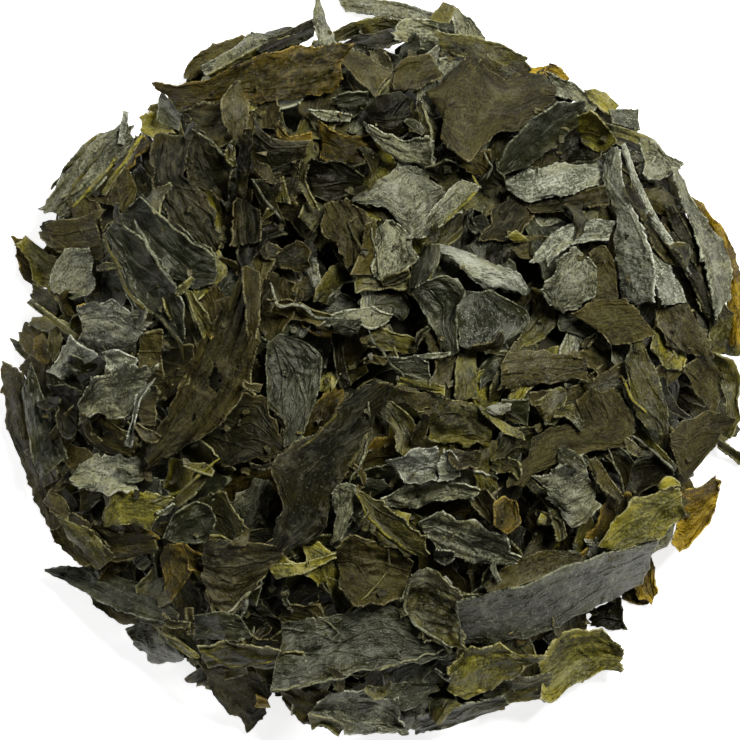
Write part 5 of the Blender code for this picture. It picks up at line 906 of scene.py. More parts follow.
def strayed(tree, vector, size, reach):
    """The vector moved up to half the reach (m) each way by noise of the size."""
    texture = tree.nodes.new("ShaderNodeTexNoise")
    texture.inputs["Scale"].default_value = 1 / size
    texture.inputs["Detail"].default_value = 3.0
    tree.links.new(vector, texture.inputs["Vector"])
    centred = tree.nodes.new("ShaderNodeVectorMath")
    centred.operation = "SUBTRACT"
    centred.inputs[1].default_value = (0.5, 0.5, 0.5)
    tree.links.new(texture.outputs["Color"], centred.inputs[0])
    moved = tree.nodes.new("ShaderNodeVectorMath")
    moved.operation = "MULTIPLY_ADD"
    moved.inputs[1].default_value = (reach, reach, 0.0)
    tree.links.new(centred.outputs["Vector"], moved.inputs[0])
    tree.links.new(vector, moved.inputs[2])
    return moved.outputs["Vector"]


def crackle(tree, vector, stretch, size, feature):
    """The cells of a crackle, about one in each size (m), as the node that makes them."""
    mapping = tree.nodes.new("ShaderNodeMapping")
    mapping.inputs["Scale"].default_value = stretch
    cells = tree.nodes.new("ShaderNodeTexVoronoi")
    cells.feature = feature
    cells.inputs["Scale"].default_value = 1 / size
    tree.links.new(vector, mapping.inputs["Vector"])
    tree.links.new(mapping.outputs["Vector"], cells.inputs["Vector"])
    return cells.outputs


def ramp(tree, value, low, high, to_low=0.0, to_high=1.0):
    """The value from low to high, made to_low to to_high, with a soft start and end."""
    scaled = tree.nodes.new("ShaderNodeMapRange")
    scaled.interpolation_type = "SMOOTHSTEP"
    scaled.inputs["From Min"].default_value = low
    scaled.inputs["From Max"].default_value = high
    scaled.inputs["To Min"].default_value = to_low
    scaled.inputs["To Max"].default_value = to_high
    tree.links.new(value, scaled.inputs["Value"])
    return scaled.outputs["Result"]


def combine(tree, operation, first, second):
    """Two values, or a value and a number, put through one Math node."""
    node = tree.nodes.new("ShaderNodeMath")
    node.operation = operation
    for entry, value in zip(node.inputs, (first, second)):
        if isinstance(value, (int, float)):
            entry.default_value = value
        else:
            tree.links.new(value, entry)
    return node.outputs["Value"]


def known(tree, name, output):
    """What each point of the leaf knows, by its attribute's name."""
    attribute = tree.nodes.new("ShaderNodeAttribute")
    attribute.attribute_name = name
    return attribute.outputs[output]


def creases(tree, vector, stretch, size, width):
    """1 on the borders of a crackle's cells, and 0 from the width, a share of a cell, away from them."""
    distance = crackle(tree, vector, stretch, size, "DISTANCE_TO_EDGE")["Distance"]
    return ramp(tree, distance, 0.0, width, 1.0, 0.0)


def grains(tree, vector, size, share, radius):
    """Round grains of unlike strength in the share of a crackle's cells, out to the radius in cells."""
    cells = crackle(tree, vector, (1.0, 1.0, 1.0), size, "F1")
    parted = tree.nodes.new("ShaderNodeSeparateColor")
    tree.links.new(cells["Color"], parted.inputs["Color"])
    chosen = combine(tree, "LESS_THAN", parted.outputs["Red"], share)
    strength = combine(tree, "MULTIPLY", chosen, ramp(tree, parted.outputs["Green"], 0.0, 1.0, 0.3, 1.0))
    return combine(tree, "MULTIPLY", strength, ramp(tree, cells["Distance"], 0.5 * radius, radius, 1.0, 0.0))


def weighed(tree, *parts):
    """The sum of values, each times its number."""
    total = None
    for value, weight in parts:
        part = combine(tree, "MULTIPLY", value, weight)
        total = part if total is None else combine(tree, "ADD", total, part)
    return total


# Each noise on the leaf: stretch along, across and up, size (m), detail and roughness. Each set of
# creases: stretch, size and width as a share of a cell. Each set of salt grains: the size of a cell (m),
# and a grain's radius as a share of it.
LEAF_NOISES = {
    "fibre": ((0.40, 1.0, 1.0), 0.00028, 3.0, 0.60),
    "wrinkle": ((0.70, 1.0, 1.0), 0.0018, 3.0, 0.50),
    "blotch": ((0.6, 1.0, 1.0), 0.0034, 8.0, 0.68),
    "grain": ((0.9, 1.0, 1.0), 0.00026, 2.0, 0.70),
    "patch": ((0.7, 1.0, 1.0), 0.0030, 9.0, 0.74),
}
LEAF_CREASES = (((0.40, 1.0, 1.0), 0.0030, 0.08), ((0.55, 1.0, 1.0), 0.0011, 0.14))
SALT_GRAINS = ((0.00028, 0.36), (0.00019, 0.46))
SPECKS = (0.00042, 0.62)
PATTERN_STRAY = (0.0035, 0.0008)     # size of the noise that bends the patterns, and how far it does
NOISE_PATCHES = (0.46, 0.60)         # creases and salt fade in between these values of their noise
LINE_BREAKS = (0.43, 0.56)           # and so does the torn line with its painted highlight
THIN_PLACES = (0.44, 0.60)           # and thin leaf
LINE_WIDTH = (0.00004, 0.00020)      # the torn line and its painted highlight fade between these distances from the margin
THIN_REACH = 0.0022                  # how far in from the margin leaf may be thin and painted as lit through
SALT_WEIGHTS = (1.20, 0.25)          # the part of cells with a grain in a salt patch, and beside it
SALT_EVERYWHERE = 0.010
PATCH_SALT = 0.58                    # how white a patch is, and its grains on least and most salted leaf
GRAIN_SALT = (0.22, 0.85)
MOST_SALTED = 0.45
SPECKED = 0.6                        # the part of cells with a speck in a salt patch
# What each mark adds to the relief: fibre, wrinkle, grain, large and small creases, salt grains.
RELIEF_WEIGHTS = (0.14, 0.42, 0.14, 0.20, 0.06, 0.04)

leaf_marks = bpy.data.node_groups.new("leaf marks", "ShaderNodeTree")
for output in ("Fibre", "Blotch", "Grain", "Crease dust and highlight", "Torn line and highlight", "Thin lit through", "Salt", "Speck", "Relief"):
    leaf_marks.interface.new_socket(output, in_out="OUTPUT", socket_type="NodeSocketFloat")
leaf_marks.interface.new_socket("Salt amount", in_out="INPUT", socket_type="NodeSocketFloat")
marks_out = leaf_marks.nodes.new("NodeGroupOutput")
salt_amount = leaf_marks.nodes.new("NodeGroupInput").outputs["Salt amount"]
leaf_place = strayed(leaf_marks, known(leaf_marks, "leaf_place", "Vector"), *PATTERN_STRAY)
from_margin = known(leaf_marks, "from_margin", "Fac")
fibre, wrinkle, blotch, grain, patch = (noise(leaf_marks, leaf_place, *look)
                                        for look in LEAF_NOISES.values())
large_crease, small_crease = (creases(leaf_marks, leaf_place, *look) for look in LEAF_CREASES)
line_break = ramp(leaf_marks, weighed(leaf_marks, (grain, 0.5), (blotch, 0.5)), *LINE_BREAKS)
# Crease lines are lightened later, partly as dust on ridges and partly as painted highlight.
crease_dust_and_highlight = combine(leaf_marks, "MULTIPLY", combine(leaf_marks, "MAXIMUM", large_crease, small_crease),
                 ramp(leaf_marks, patch, *NOISE_PATCHES))
# The torn line is partly the pale torn edge and partly a painted highlight where the edge catches the light.
torn_line_and_highlight = ramp(leaf_marks, from_margin, *LINE_WIDTH, 1.0, 0.0)
torn_line_and_highlight = combine(leaf_marks, "MULTIPLY", torn_line_and_highlight, line_break)
# Thin leaf near the margin, whose colour is partly its own and partly painted light shining through it.
thin = combine(leaf_marks, "MULTIPLY", ramp(leaf_marks, from_margin, 0.0, THIN_REACH, 1.0, 0.0),
               ramp(leaf_marks, blotch, *THIN_PLACES))
salt_share = combine(leaf_marks, "MULTIPLY", known(leaf_marks, "leaf_bloom", "Fac"), salt_amount)
salt_place = ramp(leaf_marks, weighed(leaf_marks, (patch, 0.70), (fibre, 0.30)), *NOISE_PATCHES)
salt_patch = combine(leaf_marks, "MULTIPLY", salt_place, salt_share)
grain_share = weighed(leaf_marks, *zip((salt_patch, salt_share), SALT_WEIGHTS))
grain_share = combine(leaf_marks, "ADD", grain_share, SALT_EVERYWHERE)
large_grain, small_grain = (grains(leaf_marks, leaf_place, size, grain_share, radius)
                            for size, radius in SALT_GRAINS)
salt_grain = combine(leaf_marks, "MULTIPLY", combine(leaf_marks, "MAXIMUM", large_grain, small_grain),
                     ramp(leaf_marks, salt_share, 0.0, MOST_SALTED, *GRAIN_SALT))
salt = combine(leaf_marks, "MAXIMUM", combine(leaf_marks, "MULTIPLY", salt_patch, PATCH_SALT), salt_grain)
speck_share = combine(leaf_marks, "MULTIPLY", salt_place, SPECKED)
speck = grains(leaf_marks, leaf_place, SPECKS[0], speck_share, SPECKS[1])
relief_parts = (fibre, wrinkle, grain, large_crease, small_crease, salt_grain)
relief_height = weighed(leaf_marks, *zip(relief_parts, RELIEF_WEIGHTS))
for entry, value in (("Fibre", fibre), ("Blotch", blotch), ("Grain", grain), ("Crease dust and highlight", crease_dust_and_highlight),
                     ("Torn line and highlight", torn_line_and_highlight), ("Thin lit through", thin), ("Salt", salt), ("Speck", speck),
                     ("Relief", relief_height)):
    leaf_marks.links.new(value, marks_out.inputs[entry])


def mixed(tree, share, first, second):
    """From the first colour to the second by the share; a colour is a socket or three numbers."""
    node = tree.nodes.new("ShaderNodeMix")
    node.data_type = "RGBA"
    tree.links.new(share, node.inputs["Factor"])
    for entry, colour in ((node.inputs[6], first), (node.inputs[7], second)):
        if isinstance(colour, tuple):
            entry.default_value = (*colour, 1.0)
        else:
            tree.links.new(colour, entry)
    return node.outputs[2]


SALT_COLOUR = (0.42, 0.43, 0.35)
LEAF_RELIEF = 0.0007                 # height (m) of the bump's whole range
COVER_WEIGHTS = (0.5, 0.25, 0.25)    # blotch, fibre and grain, in what makes leaf deep or full in colour
THIN_COVER = 0.75                    # how much of the colour under it each mark takes away
CREASE_COVER = 0.18
LINE_COVER = 0.85
GRAIN_TONE = 2.2                     # how much the grain lightens and darkens the leaf
DARKEST_TONE = 0.15
FIBRE_ROUGH = 0.10                   # how much rougher or smoother the fibre makes it, and salt
SALT_ROUGH = 0.25
SHEEN_TINT = (1.0, 0.97, 0.80, 1.0)


def leaf_material(name, deep, full, thin, line, salt, specks, rough, gloss, tone, spread=0.08):
    """Dried leaf, deep to full colour in blotches, with thin parts, specks, lines and salt."""
    material = bpy.data.materials.new(name)
    material.use_nodes = True
    tree = material.node_tree
    shader = tree.nodes["Principled BSDF"]
    marks = tree.nodes.new("ShaderNodeGroup")
    marks.node_tree = leaf_marks
    marks.inputs["Salt amount"].default_value = salt
    marks = marks.outputs
    cover = weighed(tree, *zip((marks["Blotch"], marks["Fibre"], marks["Grain"]), COVER_WEIGHTS))
    colour = mixed(tree, ramp(tree, cover, 0.5 - spread, 0.5 + spread), deep, full)
    # Thin leaf takes the thin colour: partly its own yellower colour, partly painted light shining through
    # it.
    colour = mixed(tree, combine(tree, "MULTIPLY", marks["Thin lit through"], THIN_COVER), colour, thin)
    colour = mixed(tree, combine(tree, "MULTIPLY", marks["Speck"], specks), colour, deep)
    bright = tree.nodes.new("ShaderNodeHueSaturation")
    own_tone = combine(tree, "MULTIPLY", known(tree, "leaf_tone", "Fac"), tone)
    grains_tone = combine(tree, "MULTIPLY", combine(tree, "SUBTRACT", marks["Grain"], 0.5), GRAIN_TONE)
    value = combine(tree, "ADD", combine(tree, "ADD", own_tone, 1.0), grains_tone)
    tree.links.new(combine(tree, "MAXIMUM", value, DARKEST_TONE), bright.inputs["Value"])
    tree.links.new(colour, bright.inputs["Color"])
    colour = bright.outputs["Color"]
    # Creases and the torn line are mixed toward the line colour: partly dust and the pale torn edge, partly
    # painted highlight on ridges and lit edges.
    for mark, share in (("Crease dust and highlight", CREASE_COVER), ("Torn line and highlight", LINE_COVER)):
        colour = mixed(tree, combine(tree, "MULTIPLY", marks[mark], share), colour, line)
    colour = mixed(tree, marks["Salt"], colour, SALT_COLOUR)
    tree.links.new(colour, shader.inputs["Base Color"])
    dull = ramp(tree, marks["Fibre"], 0.3, 0.7, rough - FIBRE_ROUGH, rough + FIBRE_ROUGH)
    dull = combine(tree, "ADD", dull, combine(tree, "MULTIPLY", marks["Salt"], SALT_ROUGH))
    tree.links.new(dull, shader.inputs["Roughness"])
    shader.inputs["Specular Tint"].default_value = SHEEN_TINT
    shader.inputs["Specular IOR Level"].default_value = gloss
    bump = tree.nodes.new("ShaderNodeBump")
    bump.inputs["Strength"].default_value = 1.0
    bump.inputs["Distance"].default_value = LEAF_RELIEF
    tree.links.new(marks["Relief"], bump.inputs["Height"])
    tree.links.new(bump.outputs["Normal"], shader.inputs["Normal"])
    return material


# Colours deep and full, mixed in blotches, where thin, partly painted light shining through, and of the
# torn line, partly painted highlight and also laid on creases, then how much salt and how many specks lie
# on the leaf, how rough and how glossy it is, and how far the leaves differ in tone.
LEAF_LOOKS = {
    "slate": dict(deep=(0.005, 0.006, 0.002), full=(0.023, 0.025, 0.011), thin=(0.032, 0.030, 0.006),
                  line=(0.21, 0.22, 0.13), salt=0.60, specks=0.5, rough=0.38, gloss=0.34, tone=0.20),
    "black": dict(deep=(0.001, 0.001, 0.000), full=(0.005, 0.004, 0.001), thin=(0.009, 0.008, 0.002),
                  line=(0.10, 0.10, 0.05), salt=0.08, specks=0.5, rough=0.42, gloss=0.16, tone=0.20),
    "peat": dict(deep=(0.003, 0.003, 0.001), full=(0.014, 0.013, 0.003), thin=(0.026, 0.020, 0.002),
                 line=(0.17, 0.15, 0.07), salt=0.18, specks=0.5, rough=0.50, gloss=0.16, tone=0.18),
    "umber": dict(deep=(0.012, 0.010, 0.003), full=(0.044, 0.039, 0.010), thin=(0.055, 0.042, 0.008),
                  line=(0.19, 0.17, 0.08), salt=0.22, specks=0.5, rough=0.58, gloss=0.14, tone=0.18),
    "tawny": dict(deep=(0.012, 0.009, 0.001), full=(0.040, 0.031, 0.003), thin=(0.110, 0.070, 0.003),
                  line=(0.26, 0.19, 0.04), salt=0.10, specks=0.5, rough=0.55, gloss=0.18, tone=0.18),
    "olive": dict(deep=(0.008, 0.008, 0.002), full=(0.047, 0.043, 0.008), thin=(0.090, 0.077, 0.008),
                  line=(0.25, 0.24, 0.11), salt=0.40, specks=0.5, rough=0.52, gloss=0.24, tone=0.26),
    "moss": dict(deep=(0.030, 0.028, 0.003), full=(0.132, 0.120, 0.016), thin=(0.230, 0.195, 0.008),
                 line=(0.35, 0.33, 0.15), salt=0.42, specks=0.7, rough=0.52, gloss=0.28, tone=0.22),
    "amber": dict(deep=(0.045, 0.026, 0.001), full=(0.180, 0.120, 0.005), thin=(0.380, 0.245, 0.004),
                  line=(0.42, 0.31, 0.06), salt=0.10, specks=0.5, rough=0.52, gloss=0.25, tone=0.25),
    "ash": dict(deep=(0.026, 0.027, 0.012), full=(0.165, 0.167, 0.099), thin=(0.100, 0.096, 0.030),
                line=(0.42, 0.43, 0.30), salt=1.00, specks=1.0, rough=0.50, gloss=0.36, tone=0.25,
                spread=0.055),
    "pale": dict(deep=(0.052, 0.056, 0.033), full=(0.260, 0.272, 0.201), thin=(0.130, 0.130, 0.055),
                 line=(0.50, 0.51, 0.40), salt=1.00, specks=1.0, rough=0.46, gloss=0.40, tone=0.15,
                 spread=0.055),
}

# A leaf that hardly shows from above gets long cells, and one that shows most of its face short ones.
SMOOTH_MARGINS = {"slate": 0.55, "umber": 0.70}     # large leaf of these colours is torn less deep
DULLER_BITS = {"amber": "tawny"}     # small leaf of the first colour looks like the second in the shade
SHOWN_FULLY = 6.0                    # how fast cells get shorter with the share of a leaf that shows
leaf_rng = np.random.default_rng(23)
cells_seen = np.bincount(owner[owner >= 0], minlength=len(flakes) + len(chips) + len(foot_flakes))
sheets_by_piece = {}
for number, flake in enumerate(flakes + chips + foot_flakes):
    is_large = small_flakes <= number < len(flakes)
    if is_large:
        flake["torn"] *= SMOOTH_MARGINS.get(flake["colour"], 1.0)
    share_seen = cells_seen[number] * MAP_CELL ** 2 / (flake["length"] * flake["width"])
    side = (LARGE_CELL if is_large else LOOSE_CELL) * max(1.0, HIDDEN_CELLS - SHOWN_FULLY * share_seen)
    piece_name = f"{flake['colour']}_{'leaf' if is_large else 'bits'}"
    sheets_by_piece.setdefault(piece_name, []).append(closed_sheet(flake, side, leaf_rng))
leaf_materials = {colour: leaf_material(f"{colour} leaf", **look) for colour, look in LEAF_LOOKS.items()}
for colour in LEAF_LOOKS:
    for piece_name, look in ((f"{colour}_leaf", colour), (f"{colour}_bits", DULLER_BITS.get(colour, colour))):
        if piece_name in sheets_by_piece:
            piece = leaf_piece(piece_name, sheets_by_piece[piece_name])
            piece.data.materials.append(leaf_materials[look])

# ---------------------------------------------------------------------------------------------------
# Curled margins
# Where a large leaf ends, its margin has dried to a thin curled lip, paler than the leaf: partly its
# own paler colour, partly a painted highlight along the lit edge. Each is a narrow strip of leaf, bowed
# across, that rides over the leaves along a line through the row's steps of the layout. Its colour and
# its width, as a share of the usual one, come first.

CURLED_MARGINS = (
    ("ash", 1.0, ((143, 198), (167, 222), (191, 242), (216, 257))),
    ("ash", 1.3, ((136, 220), (148, 242), (163, 269), (177, 288))),
    ("ash", 0.9, ((194, 131), (211, 143), (222, 155), (235, 163))),
    ("moss", 1.4, ((143, 136), (122, 167), (104, 194))),
    ("ash", 0.8, ((254, 181), (266, 201), (283, 222))),
    ("olive", 1.0, ((104, 235), (114, 256), (124, 276), (129, 290))),
    ("ash", 1.1, ((362, 124), (383, 138), (400, 140), (415, 131))),
    ("ash", 0.8, ((418, 100), (430, 126), (432, 167))),
    ("moss", 1.2, ((472, 176), (478, 189), (462, 206), (444, 225))),
    ("ash", 0.8, ((482, 155), (492, 167), (485, 181))),
    ("olive", 0.8, ((348, 222), (356, 240), (362, 253))),
    ("ash", 0.8, ((372, 229), (376, 256), (379, 277))),
    ("pale", 1.4, ((271, 284), (278, 305), (302, 307), (322, 320), (343, 319))),
    ("ash", 0.8, ((322, 307), (343, 284), (372, 283))),
    ("ash", 0.9, ((367, 331), (384, 356), (404, 377))),
    ("olive", 0.9, ((373, 379), (343, 401), (332, 421), (295, 452))),
    ("ash", 0.8, ((368, 401), (370, 432), (360, 466), (346, 486))),
    ("moss", 1.6, ((398, 378), (418, 384), (440, 390))),
    ("olive", 1.5, ((114, 260), (133, 298), (164, 322), (179, 339), (186, 363))),
    ("moss", 1.1, ((153, 501), (184, 489), (212, 465), (222, 458))),
    ("ash", 1.0, ((226, 613), (245, 596), (264, 581))),
    ("ash", 0.7, ((139, 617), (156, 627), (177, 644), (201, 654))),
    ("moss", 0.8, ((204, 651), (232, 666), (273, 661))),
    ("ash", 0.8, ((272, 689), (311, 682), (363, 672), (445, 648))),
    ("ash", 0.5, ((315, 613), (339, 631), (332, 641))),
    ("moss", 0.9, ((357, 494), (366, 514), (393, 538), (414, 552))),
    ("olive", 0.6, ((388, 545), (390, 566), (369, 593), (346, 610))),
    ("ash", 1.0, ((411, 572), (404, 610), (421, 627), (452, 646))),
    ("ash", 0.7, ((457, 586), (457, 617), (462, 644))),
    ("moss", 1.0, ((620, 376), (631, 400), (644, 413))),
    ("ash", 1.0, ((631, 434), (648, 449), (672, 470))),
    ("ash", 0.8, ((605, 448), (617, 472), (624, 492))),
    ("olive", 1.0, ((583, 454), (593, 472), (598, 492))),
    ("olive", 1.0, ((516, 491), (532, 508), (559, 518), (563, 539))),
    ("olive", 1.8, ((64, 204), (86, 172), (112, 140))),
    ("moss", 1.4, ((74, 208), (98, 182), (118, 158))),
    ("olive", 1.6, ((52, 190), (72, 164), (96, 136))),
    ("ash", 1.3, ((60, 200), (80, 190), (94, 176))),
)
LIP_HALF = 0.00015                   # half the width of a lip
LIP_CELL = 0.00040                   # the side of its cells along it
LIP_ACROSS = 5                       # points across it
LIP_BOW = 0.85                       # how far round its cross section goes, of a half circle
LIP_STRAY = 0.00018                  # how far it strays from its line, and over what length
LIP_STRAY_SPACING = 0.0030
LIP_END = 0.3                        # half width at its ends, as a share of that halfway
LIP_UNEVEN = 0.35                    # how much its width changes, and over what length
LIP_UNEVEN_SPACING = 0.0020
LIP_EVEN = 9                         # how many cells of its length its height is made even over
LIP_LIFT = 0.00006                   # how far its margins stand above the relief
LIP_KNOWS_MARGIN = 0.00018           # all of a lip is this near the torn margin


def lip(steps, wide, lip_rng):
    """A strip whose height is a bow across it, over the heap's height made even along the line."""
    line = (np.array(steps, dtype=float) - LAYOUT_CENTRE) * LAYOUT_STEP * (1, -1)
    length = np.linalg.norm(np.diff(line, axis=0), axis=1).sum()
    share = np.linspace(0, 1, math.ceil(length / LIP_CELL) + 1)
    spine = along(line, share)
    heading = np.gradient(spine, axis=0)
    heading = heading / np.linalg.norm(heading, axis=1, keepdims=True)
    aside = np.stack([-heading[:, 1], heading[:, 0]], axis=-1)
    far = share * length
    stray = LIP_STRAY * swell(waves(lip_rng, LIP_STRAY_SPACING, 3), far, 0 * far)
    spine = spine + aside * stray[:, None]
    half = wide * LIP_HALF * (LIP_END + (1 - LIP_END) * np.sqrt(np.sin(math.pi * share)))
    half = half * (1 + LIP_UNEVEN * swell(waves(lip_rng, LIP_UNEVEN_SPACING, 3), far, 0 * far))
    across = np.linspace(-1, 1, LIP_ACROSS)
    plan = spine[:, None] + aside[:, None] * (half[:, None] * across)[..., None]
    ground = np.pad(relief[cells_at(plan)].max(axis=1), LIP_EVEN // 2, mode="edge")
    ground = np.convolve(ground, np.ones(LIP_EVEN) / LIP_EVEN, mode="valid")
    height = ground[:, None] + half[:, None] * np.sqrt(1 - LIP_BOW * across ** 2) + LIP_LIFT
    middle = np.concatenate([plan, height[..., None]], axis=-1)
    points, faces, on_rim = closed(middle, upward(middle) * 0.4 * LEAF_THICKNESS)
    own = lip_rng.uniform(0, 1)
    where = np.stack([far[:, None] + 0 * across, half[:, None] * across, 0 * plan[..., 0] + own], axis=-1)
    tone = lip_rng.normal(0, 1)
    return knowing(points, faces, on_rim, where, LIP_KNOWS_MARGIN, tone, lip_rng.beta(*BLOOM))


lip_rng = np.random.default_rng(17)
lips_by_colour = {}
for colour, wide, steps in CURLED_MARGINS:
    lips_by_colour.setdefault(colour, []).append(lip(steps, wide, lip_rng))
# Each lip takes the pale leaf colour of its row, which stands partly as painted highlight along a lit edge.
for colour, lips in lips_by_colour.items():
    leaf_piece(f"{colour}_margins", lips).data.materials.append(leaf_materials[colour])

# ---------------------------------------------------------------------------------------------------
# Crumbs
# Dust and crumbs of leaf, a millimetre or so, are caught everywhere, palest where salt has dried.

CRUMBS = 700                         # how many spots get one if they are hollow
CRUMB_RADIUS = 0.0465                # how far out they lie, and how long they are (m)
CRUMB_SIZE = 0.0008
CRUMB_SIZES = (0.5, 1.5)             # least and most, as shares of the usual size
CRUMB_WIDTHS = (0.3, 0.9)            # narrowest and widest, as shares of the length
CRUMB_RAGGED = 0.16                  # how far its points are off in plan, as a share of its size
CRUMB_BENT = 0.10                    # and in height
CRUMB_STEEPEST = 0.6
CRUMB_LIFT = 0.6                     # how much of its lowest point's drop it is raised by
CRUMB_STRAY = 0.001
CRUMB_HOLLOW = 0.0004                # how much lower than round it a spot is to be hollow
CRUMB_SHOWN = 9                      # one in so many crumbs also stays where there is no hollow
CRUMB_BLOOM = (1.2, 2.0)
CRUMB_KNOWS_MARGIN = 0.0005


def crumb_at(crumb_rng, place, ground):
    """A bent scrap of four by three points lying at a random slope on the ground under it."""
    u, v = shares(3, 2)
    size = CRUMB_SIZE * crumb_rng.uniform(*CRUMB_SIZES)
    heading = crumb_rng.uniform(0, 2 * math.pi)
    ahead = np.array([math.cos(heading), math.sin(heading)])
    aside = np.array([-ahead[1], ahead[0]])
    x = (u - 0.5) * size + crumb_rng.uniform(-CRUMB_RAGGED, CRUMB_RAGGED, u.shape) * size
    y = (v - 0.5) * size * crumb_rng.uniform(*CRUMB_WIDTHS)
    y = y + crumb_rng.uniform(-CRUMB_RAGGED, CRUMB_RAGGED, u.shape) * size
    plan = place + x[..., None] * ahead + y[..., None] * aside
    slope = crumb_rng.uniform(-CRUMB_STEEPEST, CRUMB_STEEPEST, 2)
    height = x * slope[0] + y * slope[1] + crumb_rng.uniform(-CRUMB_BENT, CRUMB_BENT, u.shape) * size
    height = height - height.min() * CRUMB_LIFT + ground + LEAF_THICKNESS
    height = np.maximum(height, LEAF_THICKNESS)
    return np.concatenate([plan, height[..., None]], axis=-1), size


crumb_rng = np.random.default_rng(5)
crumb_sheets = []
for number in range(CRUMBS):
    reach = CRUMB_RADIUS * math.sqrt((number + 0.5) / CRUMBS)
    turn = number * GOLDEN_ANGLE + 2.0
    stray = crumb_rng.uniform(-CRUMB_STRAY, CRUMB_STRAY, 2)
    place = np.array([math.cos(turn), math.sin(turn)]) * reach + stray
    if depth[cells_at(place)] < CRUMB_HOLLOW and number % CRUMB_SHOWN:
        continue
    middle, size = crumb_at(crumb_rng, place, relief[cells_at(place)])
    points, faces, _ = closed(middle, np.array([0, 0, 0.5 * LEAF_THICKNESS]))
    flat_shaded = np.ones(len(faces), dtype=bool)
    where = middle + crumb_rng.uniform(0, 1)
    tone = crumb_rng.normal(0, 1)
    crumb_sheets.append(knowing(points, faces, flat_shaded, where, CRUMB_KNOWS_MARGIN, tone,
                                crumb_rng.beta(*CRUMB_BLOOM)))
crumbs = leaf_piece("leaf_crumbs", crumb_sheets)
crumbs.data.materials.append(leaf_material(
    "leaf crumbs", deep=(0.012, 0.012, 0.005), full=(0.060, 0.056, 0.024), thin=(0.10, 0.08, 0.02),
    line=(0.26, 0.25, 0.13), salt=0.4, specks=0.5, rough=0.6, gloss=0.3, tone=0.4))

# ---------------------------------------------------------------------------------------------------
# The dark middle
# Packed broken leaf under the loose flakes, seen only as darkness in the deepest gaps. Its colour is
# painted shade, near black, mixed by noise with a dark leaf colour.

CORE_RINGS = 71
CORE_SPOKES = 96
CORE_SHARE = 0.955        # it ends inside the ring of flakes that leans on it
CORE_SINK = 0.0004        # how far it lies below the relief that the flakes were laid on
CORE_CREASE = 0.0004      # height and spacing of its creases
CORE_CREASE_SPACING = 0.0045
CORE_TAPER = 0.12         # the share of its radius over which it comes down to the table
CORE_LOWEST = 0.0004      # its height at its foot
# Painted shade: the near-black colour that stands for the shade deep inside the heap.
CORE_PAINTED_SHADE = (0.004, 0.004, 0.002)
CORE_COLOUR = (0.034, 0.031, 0.013)
CORE_NOISE = ((1.0, 1.0, 1.0), 0.0011, 5.0, 0.65)

core_turn = np.linspace(0, 2 * math.pi, CORE_SPOKES + 1)[:-1]
ring, spoke = np.meshgrid(np.linspace(0, 1, CORE_RINGS + 1)[1:], core_turn, indexing="ij")
core_x = ring * CORE_SHARE * CORE_RADIUS * np.cos(spoke)
core_y = ring * CORE_SHARE * CORE_RADIUS * np.sin(spoke)
core_creases = creased(waves(crumb_rng, CORE_CREASE_SPACING, 6), core_x, core_y)
core_z = core_relief[cells_at(np.stack([core_x, core_y], axis=-1))]
core_z = core_z - CORE_SINK - CORE_CREASE * (1 + core_creases)
core_z = np.maximum(core_z * np.clip((1 - ring) / CORE_TAPER, 0, 1), CORE_LOWEST)
top_point = np.array([[0.0, 0.0, core_relief[cells_at(np.zeros(2))] - CORE_SINK]])
core_rings = np.stack([core_x, core_y, core_z], axis=-1)
core_points = np.concatenate([top_point, core_rings.reshape(-1, 3), core_rings[-1] * (1, 1, 0)])
core_ids = 1 + np.arange((CORE_RINGS + 1) * CORE_SPOKES).reshape(-1, CORE_SPOKES)
core_next = np.roll(core_ids, -1, axis=1)
core_faces = np.stack([core_ids[:-1], core_ids[1:], core_next[1:], core_next[:-1]], axis=-1).reshape(-1, 4)
top_faces = np.stack([0 * core_ids[0], core_ids[0], core_next[0]], axis=-1)
core_mesh = bpy.data.meshes.new("heap_middle")
core_mesh.from_pydata(core_points.tolist(), [],
                      core_faces.tolist() + top_faces.tolist() + [core_ids[-1][::-1].tolist()])
heap_piece("heap_middle", core_mesh)
dark_leaf = bpy.data.materials.new("packed broken leaf and painted shade")
dark_leaf.use_nodes = True
dark_tree = dark_leaf.node_tree
dark_shader = dark_tree.nodes["Principled BSDF"]
dark_place = dark_tree.nodes.new("ShaderNodeTexCoord").outputs["Object"]
# The colour is noise between the painted shade and a dark leaf colour.
dark_grain = noise(dark_tree, dark_place, *CORE_NOISE)
dark_tree.links.new(mixed(dark_tree, dark_grain, CORE_PAINTED_SHADE, CORE_COLOUR), dark_shader.inputs["Base Color"])
dark_shader.inputs["Roughness"].default_value = 0.8
dark_shader.inputs["Specular IOR Level"].default_value = 0.2
core_mesh.materials.append(dark_leaf)

# ---------------------------------------------------------------------------------------------------
# Floor, light and camera
# A white table top lit softly, the main light from the upper right of the picture, and a camera that
# looks straight down from far off.

FLOOR_HALF = 2.0
WHITE = (1.0, 1.0, 1.0, 1.0)
FLOOR_LOOK = {"Base Color": (0.86, 0.86, 0.86, 1.0), "Roughness": 0.9, "Specular IOR Level": 0.1,
              "Emission Color": WHITE, "Emission Strength": 0.80}
WORLD_LIGHT = 0.05
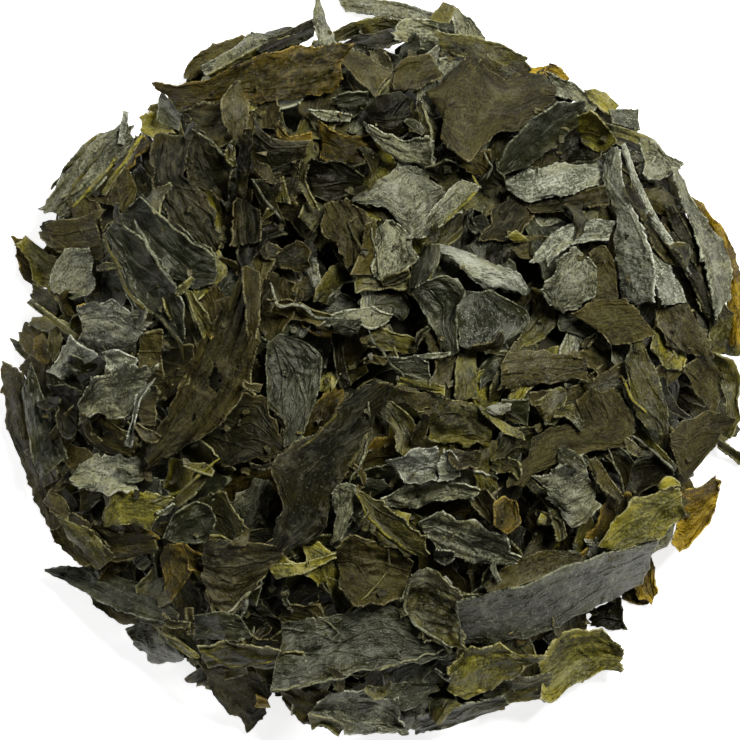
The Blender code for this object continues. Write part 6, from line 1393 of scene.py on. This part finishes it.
# Each lamp's place and size (m), power (W) and colour.
LAMPS = {
    "key light": ((0.46, 0.52, 0.98), 0.40, 21.0, (1.0, 0.99, 0.97)),
    "low light": ((-0.9, 0.5, 0.5), 0.50, 3.0, (1.0, 1.0, 1.0)),
}

floor_mesh = bpy.data.meshes.new("table_top")
floor_mesh.from_pydata([(-FLOOR_HALF, -FLOOR_HALF, 0), (FLOOR_HALF, -FLOOR_HALF, 0),
                        (FLOOR_HALF, FLOOR_HALF, 0), (-FLOOR_HALF, FLOOR_HALF, 0)], [], [(0, 1, 2, 3)])
floor = bpy.data.objects.new("table_top", floor_mesh)
bpy.context.scene.collection.objects.link(floor)
white_top = bpy.data.materials.new("white table top")
white_top.use_nodes = True
for entry, value in FLOOR_LOOK.items():
    white_top.node_tree.nodes["Principled BSDF"].inputs[entry].default_value = value
floor_mesh.materials.append(white_top)

world = bpy.data.worlds.new("studio")
bpy.context.scene.world = world
world.use_nodes = True
world.node_tree.nodes["Background"].inputs["Color"].default_value = WHITE
world.node_tree.nodes["Background"].inputs["Strength"].default_value = WORLD_LIGHT


def soft_light(name, place, size, power, colour):
    """A square light of the size at the place, turned to face the heap."""
    lamp = bpy.data.lights.new(name, "AREA")
    lamp.size = size
    lamp.energy = power
    lamp.color = colour
    holder = bpy.data.objects.new(name, lamp)
    holder.location = place
    x, y, z = place
    holder.rotation_euler = (math.atan2(math.hypot(x, y), z), 0, math.atan2(y, x) + math.pi / 2)
    bpy.context.scene.collection.objects.link(holder)


for name, lamp_look in LAMPS.items():
    soft_light(name, *lamp_look)

CAMERA_HEIGHT = 1.6
SENSOR = 36
VIEWED_WIDTH = 740 * LAYOUT_STEP
SHARP_HEIGHT = 0.005      # the height at which the layout's steps are true in the picture
camera_data = bpy.data.cameras.new("camera")
camera_data.sensor_width = SENSOR
camera_data.lens = SENSOR * (CAMERA_HEIGHT - SHARP_HEIGHT) / VIEWED_WIDTH
camera = bpy.data.objects.new("camera", camera_data)
camera.location = (0, 0, CAMERA_HEIGHT)
bpy.context.scene.collection.objects.link(camera)
bpy.context.scene.camera = camera
bpy.context.scene.view_settings.view_transform = "Standard"
